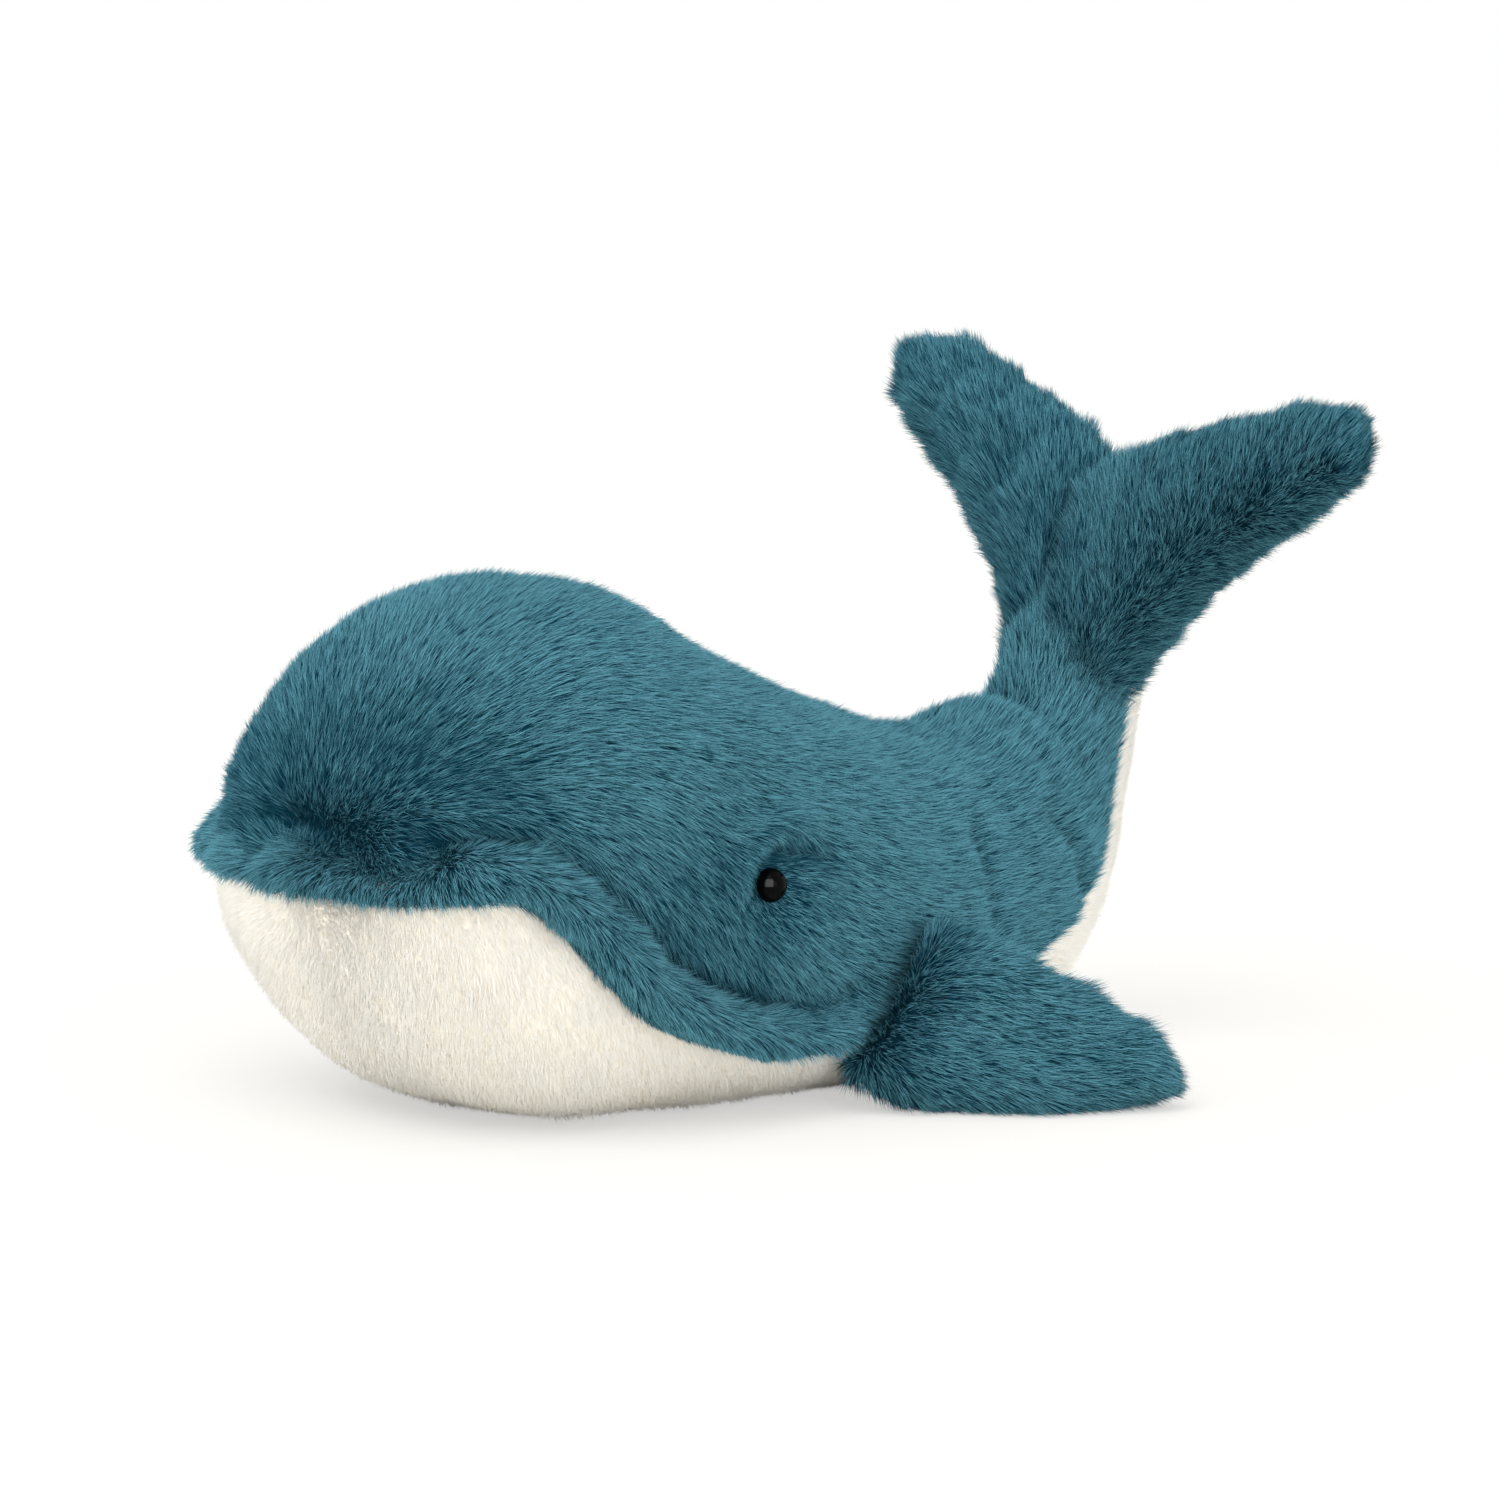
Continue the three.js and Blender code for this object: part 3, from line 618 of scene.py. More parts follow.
def solid_tree(cover):
    """The skin of a cover, to cast rays on."""
    quads = cover.faces(np.arange(cover.points.shape[1]))
    return BVHTree.FromPolygons(cover.points.reshape(-1, 3).tolist(), quads.tolist())


def on_side(y, z):
    """Where a level ray from the whale's left meets the bare skin, and which way the skin faces."""
    point, normal, _, _ = bare_skin.ray_cast(Vector((RAY_START, y, z)), Vector((-1, 0, 0)))
    return np.array(point), np.array(normal)


trunk = trunk_cover()
bare_skin = solid_tree(trunk)
eye_point, eye_normal = on_side(EYE_ALONG, EYE_HEIGHT)


def from_eye(points):
    """The way from the eye to points, with the whale's right side mirrored to its left."""
    return np.abs(points * (1, 0, 0)) + points * (0, 1, 1) - eye_point


def from_line(points, corners):
    """How far points lie from a line through corners, on the nearer side of the whale."""
    points = points.copy()
    points[..., 0] = np.abs(points[..., 0])
    least = np.full(points.shape[:-1], np.inf)
    for start, end in zip(corners[:-1], corners[1:]):
        run = end - start
        share = np.clip(((points - start) @ run) / (run @ run), 0, 1)
        least = np.minimum(least, np.linalg.norm(points - start - share[..., None] * run, axis=-1))
    return least


def dent(distance, width, depth=1):
    """A soft dent of a width and a depth, by distance from its middle."""
    return depth * np.exp(-((distance / width) ** 2))


def along_side(places):
    """Points of the bare skin on the whale's left, at places given as y and z."""
    return [on_side(y, z)[0] for y, z in places]


def lip_middle():
    """The points that the middle of the lip roll runs through, and its thickness at each."""
    left = along_side([(along * LIP_REACH, height * HEAD_HEIGHT) for along, height, _ in LIP_SHARES])
    right = [point * (-1, 1, 1) for point in left[::-1]]
    sizes = [row[2] for row in LIP_SHARES]
    nose = np.array([0, BODY_SHARES[0, 0] * BODY_LENGTH, LIP_NOSE_HEIGHT])
    return np.array([*left, nose, *right]), np.array([*sizes, LIP_NOSE_SIZE, *sizes[::-1]])[:, None]


def lip_crease(points):
    """How far points of the skin lie from the crease over the lip roll."""
    middle, _ = lip_middle()
    run = unit(np.gradient(middle, axis=0))
    up = unit(np.cross(run, np.cross((0, 0, 1), run)))
    return from_line(points, (middle + up * (LIP_WIDTH / 2 + CREASE_LIFT))[:len(LIP_SHARES) + 1])


def shape_trunk():
    """Presses in the eyes and the creases, and makes the filling a little uneven."""
    points = trunk.points
    y, z = points[..., 1], points[..., 2]
    away = np.linalg.norm(from_eye(points), axis=-1)
    push = dent(away - EYE_RING_REACH, *EYE_RING) - dent(away, *EYE_SOCKET)
    push += dent(from_line(points, along_side(BROW_RIDGE)), *RIDGE_RISE)
    push -= dent(from_line(points, along_side(BROW_CREASE)), *CREASE_DENT)
    for fold in SIDE_FOLDS:
        push -= dent(from_line(points, along_side(fold)), *FOLD_DENT)
    push -= dent(lip_crease(points), *OVER_LIP_DENT)
    push += TRUNK_UNEVEN * lumps_on(points, *TRUNK_LUMPS)
    wander = WRINKLE_WANDER * lumps_on(points, *WRINKLE_LUMPS)
    wrinkles = np.sin((y + WRINKLE_SLANT * z) * 2 * math.pi / WRINKLE_SPACING + wander)
    wrinkles = WRINKLE_DEPTH * wrinkles * rise_between(y, *WRINKLES_START)
    push += wrinkles * (1 - rise_between(y, *WRINKLES_END)) * (z > WRINKLES_ABOVE)
    push *= rise_between(z, *BASE_FADE)
    deeper = DENT_MORE * rise_between(away, WASHER_REACH, WASHER_REACH + DENT_FADE)
    trunk.push(np.maximum(push, -DENT_LIMIT - deeper))
    trunk.points[..., 2] = np.maximum(trunk.points[..., 2], TRUNK_LEAST)
    trunk.shape()


shape_trunk()


# The fluke.


def rotation(axis, angle):
    """A turn about an axis of the frame, as an array."""
    return np.array(Matrix.Rotation(angle, 3, axis))


FLUKE_TURN = rotation("X", -TAIL_LEAN) @ rotation("Z", FLUKE_TWIST) @ rotation("Y", FLUKE_ROLL)
FLUKE_AT = np.array([0, STEM_SETBACK, STEM_HEIGHT])


def lobe_cover(side):
    """Half of the fluke, on the left for side 1 and on the right for side -1."""
    upper_x, upper, lower_x, lower, thickness = smooth_rows(LOBE_SHARES, LOBE_ROWS).T[:, :, None]
    angle = 2 * math.pi * np.arange(LOBE_COLUMNS)[None, :] / LOBE_COLUMNS
    level = 0.5 + 0.5 * np.cos(angle)
    high_x = upper_x * FLUKE_SPAN / 2 - FLUKE_OVERLAP
    low_x = lower_x * FLUKE_SPAN / 2 - FLUKE_OVERLAP
    tuck, lift = (LEFT_LOBE_TUCK, LEFT_LOBE_LIFT) if side > 0 else (RIGHT_LOBE_TUCK, RIGHT_LOBE_LIFT)
    low_x = low_x - tuck * np.sin(np.clip(lower, 0, 1) ** TUCK_SKEW * math.pi)
    high_z = FLUKE_NOTCH_HEIGHT + (FLUKE_TIP_HEIGHT - FLUKE_NOTCH_HEIGHT) * upper
    high_z = high_z + lift * np.sin(np.clip(upper_x, 0, 1) * math.pi)
    low_z = -FLUKE_ROOT_DEPTH + (FLUKE_TIP_HEIGHT + FLUKE_ROOT_DEPTH) * lower
    x = low_x + (high_x - low_x) * level
    z = low_z + (high_z - low_z) * level
    groove = 1
    for section, start in FLUKE_GROOVES:
        groove = groove - dent(x, *section) * rise_between(z, *start)
    y = -np.sin(angle) * np.maximum(thickness, 0) * FLUKE_THICKNESS / 2 * groove
    cover = Cover(np.stack([x * side, y, z], -1))
    lumps = lumps_on(cover.points + side * LOBE_LUMPS_APART, *LOBE_LUMPS)
    cover.push((LOBE_UNEVEN * lumps + LOBE_PLUMPNESS) * rise_between(x, *LOBE_PLUMP_FROM))
    cover.local = cover.points.copy()
    cover.points = cover.points @ FLUKE_TURN.T + FLUKE_AT
    cover.shape()
    return cover


# The flippers.


def flipper_cover(side):
    """A flipper, on the left for side 1 and on the right for side -1."""
    bead = FLIPPER_ROOT_THICKNESS / 2
    root = [(-math.sin(turn * math.pi / 2) * bead, front * FLIPPER_ROOT_WIDTH,
             back * FLIPPER_ROOT_WIDTH, math.cos(turn * math.pi / 2) * bead)
            for turn, front, back in FLIPPER_ROOT_SHARES]
    blade = [(out * FLIPPER_LENGTH, front * FLIPPER_ROOT_WIDTH, back * FLIPPER_ROOT_WIDTH,
              thickness * FLIPPER_THICKNESS / 2) for out, front, back, thickness in FLIPPER_SHARES]
    out, front, back, half = smooth_rows(root + blade, FLIPPER_ROWS).T[:, :, None]
    angle = 2 * math.pi * np.arange(FLIPPER_COLUMNS)[None, :] / FLIPPER_COLUMNS
    across = front + (back - front) * (0.5 + 0.5 * np.cos(angle))
    curl = FLIPPER_FRONT_CURL * (1 - rise_between(out, 0, FLIPPER_LENGTH / 2))
    curl = curl * (np.minimum(across, 0) / (FLIPPER_ROOT_WIDTH / 2)) ** 2
    local = np.stack([out - curl, across, np.sin(angle) * np.maximum(half, 0)], -1)
    point, normal = on_side(FLIPPER_ALONG, FLIPPER_HEIGHT)
    seam = np.array([0, math.cos(FLIPPER_SEAM_RISE), math.sin(FLIPPER_SEAM_RISE)])
    seam = unit(seam - normal * (seam @ normal))
    down = np.cross(seam, normal)
    outward = normal * math.cos(FLIPPER_DROOP) + down * math.sin(FLIPPER_DROOP)
    face = np.cross(outward, seam)
    points = local @ np.stack([outward, seam, face]) + (point + normal * (bead + SEAM_GAP))
    points[..., 0] *= side
    cover = Cover(points)
    cover.local = local
    cover.push(FLIPPER_UNEVEN * lumps_on(cover.points, *FLIPPER_LUMPS))
    cover.points[..., 2] = np.maximum(cover.points[..., 2], FLIPPER_LEAST)
    cover.shape()
    return cover


# The lip roll.


def lip_cover():
    """The roll round the mouth, from one flipper past the nose to the other."""
    corners, sizes = lip_middle()
    middle = path_points(corners, LIP_ROWS)
    size = smooth_rows(sizes, LIP_ROWS)
    share = np.linspace(0, 1, LIP_ROWS)[:, None]
    size = size * np.sqrt(np.clip(np.minimum(share, 1 - share) / LIP_END_SHARE, 0, 1))
    tangent = unit(np.gradient(middle, axis=0))
    out = unit(np.cross((0, 0, 1), tangent))
    rise = np.cross(tangent, out)
    angle = 2 * math.pi * np.arange(LIP_COLUMNS) / LIP_COLUMNS
    nose = 1 - rise_between(np.abs(middle[:, :1]), *LIP_DRAWN_WITHIN)
    upper = (1 + np.sin(angle)) / 2
    proud = LIP_STANDOFF + size * np.cos(angle) * LIP_THICKNESS / 2 - LIP_DRAW_IN * nose * upper
    points = (middle[:, None] + out[:, None] * proud[..., None]
              + rise[:, None] * (size * np.sin(angle) * LIP_WIDTH / 2)[..., None])
    cover = Cover(points)
    cover.push(LIP_UNEVEN * lumps_on(cover.points, *LIP_LUMPS))
    cover.tangent = tangent
    cover.middle = middle
    cover.outward = out
    return cover


# Materials.


def new_material(name):
    """A material and its nodes and links."""
    material = bpy.data.materials.new(name)
    material.use_nodes = True
    return material, material.node_tree.nodes, material.node_tree.links


def set_inputs(node, values):
    """Sets inputs of a node by name."""
    for name, value in values.items():
        node.inputs[name].default_value = value


def colour_run(nodes, links, value, low, high, socket, top=1):
    """Feeds a socket with a run from one colour to another, as a value goes from 0 to the top."""
    ramp = nodes.new("ShaderNodeValToRGB")
    ramp.color_ramp.elements[0].color = (*low, 1)
    ramp.color_ramp.elements[1].color = (*high, 1)
    ramp.color_ramp.elements[1].position = top
    links.new(value, ramp.inputs["Fac"])
    links.new(ramp.outputs["Color"], socket)


def stored(nodes, name):
    """One of the values stored with the pile."""
    made = nodes.new("ShaderNodeAttribute")
    made.attribute_name = name
    return made.outputs["Fac"]


def plush(name, roots, low, high, sheen, tint):
    """Pile whose roots are painted darker as the shade deep in the pile, and whose tone changes from tuft to
    tuft.
    """
    material, nodes, links = new_material(name)
    shader = nodes["Principled BSDF"]
    shade = nodes.new("ShaderNodeMix")
    shade.data_type = "RGBA"
    shade.blend_type = "MULTIPLY"
    shade.inputs["Factor"].default_value = 1
    colour_run(nodes, links, stored(nodes, "tone"), low, high, shade.inputs["A"])
    colour_run(nodes, links, stored(nodes, "rise"), roots, (1, 1, 1), shade.inputs["B"], ROOT_PAINTED_SHADE_REACH)
    links.new(shade.outputs["Result"], shader.inputs["Base Color"])
    set_inputs(shader, {"Roughness": PILE_ROUGHNESS, "Specular IOR Level": 0, "Sheen Weight": sheen,
                        "Sheen Roughness": SHEEN_ROUGHNESS, "Sheen Tint": (*tint, 1)})
    return material


# The roots' colours are painted shade, deep in the pile.
blue = plush("blue_plush", roots=(0.24, 0.3, 0.34), low=linear(2, 54, 73), high=linear(95, 154, 170),
             sheen=0.03, tint=(0.3, 0.62, 0.75))
cream = plush("cream_plush", roots=(0.97, 0.95, 0.92), low=linear(244, 235, 216),
              high=linear(255, 254, 250), sheen=0.0, tint=(1, 1, 1))


# The pile and the cloth under it.


def set_values(mesh, name, values):
    """Stores a value for each point of a mesh."""
    attribute = mesh.attributes.new(name, "FLOAT", "POINT")
    attribute.data.foreach_set("value", np.ascontiguousarray(values, np.float32))


def hold(piece, body):
    """Rides a piece on its body; given a bend between two bodies, it only bakes the piece's place into its
    points.
    """
    if isinstance(body, str):
        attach(piece, body)
    else:
        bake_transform(piece)


def lock_of(roots, locks, rng):
    """For each tuft, the number of the tuft in the middle of its lock."""
    middles = np.sort(rng.choice(len(roots), max(1, locks), replace=False))
    tree = KDTree(len(middles))
    for number, place in enumerate(roots[middles].tolist()):
        tree.insert(place, number)
    tree.balance()
    return middles[np.array([tree.find(place)[1] for place in roots.tolist()])]


def grow(name, cover, columns, rng, flow, length, lean, tone, keep, material, body, lock=1.2, pull=0.4,
         share=1, contrast=1.0):
    """Grows the pile of a cover: tapered tufts with three sides, which gather into locks."""
    quads = cover.faces(columns)
    triangles = np.vstack([quads[:, [0, 1, 2]], quads[:, [0, 2, 3]]])
    flat = cover.points.reshape(-1, 3)
    a, b, c = (flat[triangles[:, k]] for k in range(3))
    area = np.linalg.norm(np.cross(b - a, c - a), axis=1) / 2
    total = (area * keep.reshape(-1)[triangles].mean(1)).cumsum()
    count = int(total[-1] * DENSITY * share)
    chosen = np.searchsorted(total, rng.uniform(0, total[-1], count))
    first, second = rng.uniform(0, 1, (2, count))
    over = first + second > 1
    first[over], second[over] = 1 - first[over], 1 - second[over]
    corner = triangles[chosen]
    shares = np.stack([1 - first - second, first, second], 1)

    def at(values):
        """Values of the cover at the roots of the tufts."""
        return (values.reshape(len(flat), -1)[corner] * shares[..., None]).sum(1)

    root, normal = at(cover.points), unit(at(cover.normal))
    way = at(flow)
    way = unit(way - normal * (way * normal).sum(1, keepdims=True))
    guard = rng.uniform(0, 1, count) < GUARD_SHARE
    reach = at(length)[:, 0] * rng.uniform(*REACH_SPREAD, count) * np.where(guard, *REACH_OF_KIND)
    tilt = at(lean)[:, 0] + rng.normal(0, TILT_SPREAD, count) + np.where(guard, *TILT_OF_KIND)
    turn = rng.normal(0, TURN_SPREAD, count)
    aside = np.cross(normal, way)
    way = way * np.cos(turn)[:, None] + aside * np.sin(turn)[:, None]
    direction = way * np.cos(tilt)[:, None] + normal * np.sin(tilt)[:, None]
    tip = root + direction * reach[:, None]
    paler = contrast * np.where(guard, 1 - GUARD_SHARE, -GUARD_SHARE)
    shade = at(tone)[:, 0] + rng.normal(0, TONE_SPREAD, count) + paler

    # Each tuft's tip leans to the tip of the tuft in the middle of its lock.
    nearest = lock_of(root, int(total[-1] / (lock * lock)), rng)
    gather = pull * rng.uniform(*GATHER_SPREAD, count) * np.where(guard, *GATHER_OF_KIND)
    tip += (tip[nearest] - tip) * gather[:, None]
    shade += (rng.normal(0, LOCK_TONE_SPREAD, count) * contrast)[nearest]
    tip[:, 2] = np.maximum(tip[:, 2], PILE_LEAST)

    # The three points of each tuft at its root, and its tip.
    direction = unit(tip - root)
    side = unit(np.cross(direction, normal))
    third = np.cross(direction, side)
    start = rng.uniform(0, 2 * math.pi, count)
    radius = TUFT_WIDTH * rng.uniform(*WIDTH_SPREAD, count) * np.where(guard, *WIDTH_OF_KIND) / 2
    points = []
    facing = []
    for k in range(3):
        angle = start + 2 * math.pi * k / 3
        spoke = side * np.cos(angle)[:, None] + third * np.sin(angle)[:, None]
        points.append(root - normal * ROOT_DEPTH + spoke * radius[:, None])
        facing.append(unit(normal * ROOT_FACING[0] + spoke * ROOT_FACING[1]))
    points = np.stack([*points, tip], 1)
    points[..., 2] = np.maximum(points[..., 2], PILE_LEAST)
    facing = np.stack([*facing, unit(normal * TIP_FACING[0] + direction * TIP_FACING[1])], 1)

    order = np.argsort(flat[corner[:, 0]][:, 1], kind="stable")
    parts = max(1, math.ceil(count / TUFTS_A_PIECE))
    made = []
    for number, members in enumerate(np.array_split(order, parts)):
        size = len(members)
        base = np.arange(size)[:, None] * 4
        faces = np.stack([base + (0, 1, 3), base + (1, 2, 3), base + (2, 0, 3)], 1).reshape(-1, 3)
        label = name if parts == 1 else f"{name}_{number + 1}"
        piece = mesh_object(label, to_row(points[members].reshape(-1, 3)), faces, material)
        level = np.clip(shade[members], *TONE_ENDS)
        set_values(piece.data, "tone", np.repeat(level, 4))
        set_values(piece.data, "rise", np.tile([0, 0, 0, 1], size))
        low, high = (np.full(size, end) for end in TONE_ENDS)
        corners = np.stack([level - BAKE_REACH, low, level + BAKE_REACH, low, level, high], 1)
        uv = piece.data.uv_layers.new(name="OFBake")
        uv.data.foreach_set("uv", np.tile(corners, 3).astype(np.float32).ravel())
        piece.data.normals_split_custom_set_from_vertices(facing[members].reshape(-1, 3).astype(np.float32))
        made.append(piece)
        hold(piece, body)
    return made


TAIL_WAY = np.array([0, math.sin(TAIL_BEND_LEAN), math.cos(TAIL_BEND_LEAN)])
TRUNK_BEND = ("root", "tail", TAIL_BEND - TAIL_WAY * TAIL_BEND_REACH[0],
              TAIL_BEND + TAIL_WAY * TAIL_BEND_REACH[1])


def lobe_bend(side):
    """The bodies that a lobe bends between, and where its bend starts and ends."""
    name = "left_fluke" if side > 0 else "right_fluke"
    way = FLUKE_TURN @ np.array([side * math.sin(LOBE_BEND_TURN), 0, math.cos(LOBE_BEND_TURN)])
    at = FLUKE_TURN @ np.array([side * LOBE_BEND_ACROSS, 0, LOBE_BEND_HEIGHT]) + FLUKE_AT
    return ("tail", name, at - way * LOBE_BEND_REACH, at + way * LOBE_BEND_REACH)


def dress_panel(name, cover, columns, material, body, tone, nodes):
    """A cloth panel under the pile, in place of its solids."""
    piece = cover_object(name, cover, columns, material)
    count = len(piece.data.vertices)
    set_values(piece.data, "tone", np.full(count, tone))
    # With a rise of 0 the cloth takes the full painted shade of the pile's roots.
    set_values(piece.data, "rise", np.zeros(count))
    hold(piece, body)
    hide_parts(*nodes)


def uneven(lumps, middle, change):
    """A middle value that the lumps change."""
    return middle + change * lumps


def tone_plan(points, away):
    """Painted shade: the coat is painted darker on the brow, round the eye, in the cheek's hollow and a
    little on the crown.
    """
    y, z = points[..., 1], points[..., 2]
    brow = (1 - rise_between(y, *BROW_BACK)) * rise_between(z, *BROW_FOOT)
    brow = brow * (1 - rise_between(z, *BROW_TOP))
    cheek = (1 - rise_between(y, *CHEEK_BACK)) * rise_between(y, *CHEEK_FRONT)
    cheek = cheek * (1 - rise_between(z, *CHEEK_TOP))
    eye = dent(away, EYE_PAINTED_SHADE_REACH)
    top = rise_between(z, *CROWN)
    shade = BACK_TONE - BROW_PAINTED_SHADE * brow - CHEEK_PAINTED_SHADE * cheek
    return shade - EYE_PAINTED_SHADE * eye * (1 - cheek) - CROWN_PAINTED_SHADE * top


def dress_trunk():
    """The back and belly panels and their pile."""
    columns = np.arange(trunk.points.shape[1])
    left, belly, right = np.split(columns, (BACK_COLUMNS, BACK_COLUMNS + 2 * BELLY_COLUMNS))
    for name, part, inside in (("left", left, "body_stuffing"), ("right", right, "tail_stuffing")):
        dress_panel(f"{name}_back_cover", trunk, part, blue, TRUNK_BEND, BLUE_CLOTH_TONE,
                    (f"{name}_back_panel", f"{name}_tail_panel", inside))
    dress_panel("belly_cover", trunk, belly, cream, TRUNK_BEND, CREAM_CLOTH_TONE,
                ("belly_panel", "tail_underside", "pellet_pouch"))

    points, normal = trunk.points, trunk.normal
    x, y, z = (points[..., k] for k in range(3))
    down = trunk.around * np.where(columns < len(columns) / 2, 1, -1)[None, :, None]
    cheek = (1 - rise_between(y, *CHEEK_NAP_BACK)) * (1 - rise_between(z, *CHEEK_NAP_TOP))
    flow = trunk.along + down * (NAP_FALL + CHEEK_NAP_FALL * cheek)[..., None]
    away = np.linalg.norm(from_eye(points), axis=-1)
    radial = unit(points - np.where(x[..., None] > 0, eye_point, eye_point * (-1, 1, 1)))
    flow = flow + radial * dent(away, *EYE_NAP)[..., None]
    lumps = mixed_lumps(points, *TRUNK_COAT_LUMPS)
    stem = rise_between(y, *STEM_COAT_BACK) * rise_between(z, *STEM_COAT_UP)
    clear = EYE_PILE + (1 - EYE_PILE) * rise_between(away, *EYE_PILE_REACH)
    length = (BACK_PILE + STEM_PILE * stem) * clear
    lean = uneven(lumps, *BACK_LEAN)
    over_lip = lip_crease(points)
    crease = dent(over_lip, *WIDE_CREASE) + dent(over_lip, *NARROW_CREASE)
    length = length * (1 - CREASE_SHORTER * crease)
    # Painted shade darkens the crease over the lip; the stem's pile is darker too.
    tone = uneven(lumps, tone_plan(points, away), TRUNK_LUMP_TONE) - CREASE_PAINTED_SHADE * crease - STEM_SHADE * stem
    # The folds of the side and the crease over the eye are painted darker, as shade.
    for fold, shade in (*((fold, FOLD_PAINTED_SHADE) for fold in SIDE_FOLDS), (BROW_CREASE, BROW_CREASE_PAINTED_SHADE)):
        tone = tone - dent(from_line(points, along_side(fold)), FOLD_PAINTED_SHADE_WIDTH, shade)
    keep = (away > EYE_CLEAR) * 1.0
    rng = np.random.default_rng(7)
    for name, part in (("left_back_fur", left), ("right_back_fur", right)):
        for piece in grow(name, trunk, part, rng, flow, length, lean, tone, keep, blue, TRUNK_BEND,
                          lock=1.1, pull=0.4, contrast=1.15):
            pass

    aside = rise_between(np.abs(x), *BELLY_PARTING)[..., None]
    flow = down * aside + trunk.along * (BELLY_NAP_BACK[0] - BELLY_NAP_BACK[1] * aside)
    flatter = FLOOR_LEAN * (1 - rise_between(z, *FLOOR_LEAN_BELOW))
    lean = uneven(lumps, *BELLY_LEAN) + flatter * (np.abs(normal[..., 2]) < LEVEL_FACING)
    pressed = rise_between(-normal[..., 2], *RESTING_FACING)
    keep = 1 - BELLY_PRESSED * pressed * (z < RESTING_BELOW)
    for piece in grow("belly_fur", trunk, belly, rng, flow, uneven(lumps, *BELLY_PILE), lean,
                      uneven(lumps, *BELLY_TONE), keep, cream, TRUNK_BEND, lock=1.1, pull=0.25, share=0.7,
                      contrast=0.4):
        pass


def dress_fluke():
    """Both lobes of the fluke and their pile."""
    for side, name in ((1, "left_fluke"), (-1, "right_fluke")):
        cover = lobe_cover(side)
        columns = np.arange(LOBE_COLUMNS)
        bend = lobe_bend(side)
        nodes = [f"{name}_front", f"{name}_back", f"{name}_stuffing"]
        if side > 0:
            nodes.append("fluke_back_panel")
        dress_panel(f"{name}_cover", cover, columns, blue, bend, BLUE_CLOTH_TONE, nodes)
        x, y, z = (cover.local[..., k] for k in range(3))
        flow = (cover.local - np.array([0, 0, -FLUKE_ROOT_DEPTH - FLUKE_NAP_DEPTH])) @ FLUKE_TURN.T
        lumps = mixed_lumps(cover.points, *FLUKE_COAT_LUMPS)
        crease = dent(x, FLUKE_CREASE_WIDTH) * rise_between(z, *FLUKE_CREASE_START) * (y < 0)
        length = uneven(lumps, *FLUKE_PILE) * (1 - FLUKE_CREASE_SHORTER * crease)
        # The lobes are painted darker than the back, the right lobe darker than the left, as painted shade.
        tone = uneven(lumps, FLUKE_TONE + LOBE_PAINTED_SHADE_APART * side, FLUKE_LUMP_TONE)
        # Painted shade darkens the crease down the middle of the fluke.
        tone = tone - FLUKE_CREASE_PAINTED_SHADE * crease
        keep = (x * side > FLUKE_SEAM_BARE) * 1.0
        rng = np.random.default_rng(50 + side)
        for piece in grow(f"{name}_fur", cover, columns, rng, flow, length, uneven(lumps, *FLUKE_LEAN), tone,
                          keep, blue, bend, lock=1.5, pull=0.45):
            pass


def dress_flippers():
    """Both flippers and their pile."""
    for side, name in ((1, "left_flipper"), (-1, "right_flipper")):
        cover = flipper_cover(side)
        columns = np.arange(FLIPPER_COLUMNS)
        nodes = (f"{name}_top", f"{name}_bottom", f"{name}_stuffing")
        dress_panel(f"{name}_cover", cover, columns, blue, name, BLUE_CLOTH_TONE, nodes)
        lumps = mixed_lumps(cover.points, *FLIPPER_COAT_LUMPS)
        out = cover.local[..., 0]
        lean = uneven(lumps, *FLIPPER_LEAN) + SEAM_LEAN * (1 - rise_between(out, *SEAM_LEAN_WITHIN))
        # The flipper's pile is painted darker than the back's, and darker still at its seam, as painted
        # shade.
        tone = uneven(lumps, *FLIPPER_TONE) - SEAM_PAINTED_SHADE * (1 - rise_between(out, *SEAM_PAINTED_SHADE_WITHIN))
        keep = 1 - FLIPPER_PRESSED * (cover.points[..., 2] < FLIPPER_RESTS_BELOW)
        rng = np.random.default_rng(70 + side)
        for piece in grow(f"{name}_fur", cover, columns, rng, cover.along, uneven(lumps, *FLIPPER_PILE), lean,
                          tone, keep, blue, name, lock=1.4, pull=0.42):
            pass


def dress_lip():
    """The lip roll and its pile, which falls and is combed back from the nose."""
    cover = lip_cover()
    columns = np.arange(LIP_COLUMNS)
    dress_panel("lip_roll_cover", cover, columns, blue, "root", BLUE_CLOTH_TONE,
                ("lip_roll",))
    from_nose = np.abs(cover.middle[:, :1])
    fall = np.zeros_like(cover.points) + (0, 0, -1.0)
    back = cover.tangent[:, None] * np.where(cover.middle[:, :1] > 0, -1, 1)[..., None]
    parted = rise_between(from_nose, *LIP_PARTING)[..., None]
    flow = fall + back * LIP_NAP_BACK * parted + cover.outward[:, None] * LIP_NAP_OUT
    lumps = mixed_lumps(cover.points, *LIP_COAT_LUMPS)
    under = rise_between(-cover.normal[..., 2], *LIP_UNDER_FACING)
    length = uneven(lumps, *LIP_PILE) * (1 - LIP_UNDER_SHORTER * under)
    inward = (cover.normal * cover.outward[:, None]).sum(-1)
    front = rise_between(from_nose, *LIP_FRONT_START) * (1 - rise_between(from_nose, *LIP_FRONT_END))
    # The lip is painted darker than the back as shade, and its front a little paler as painted light.
    tone = uneven(lumps, LIP_TONE + LIP_FRONT_PAINTED_LIGHT * front, LIP_LUMP_TONE)
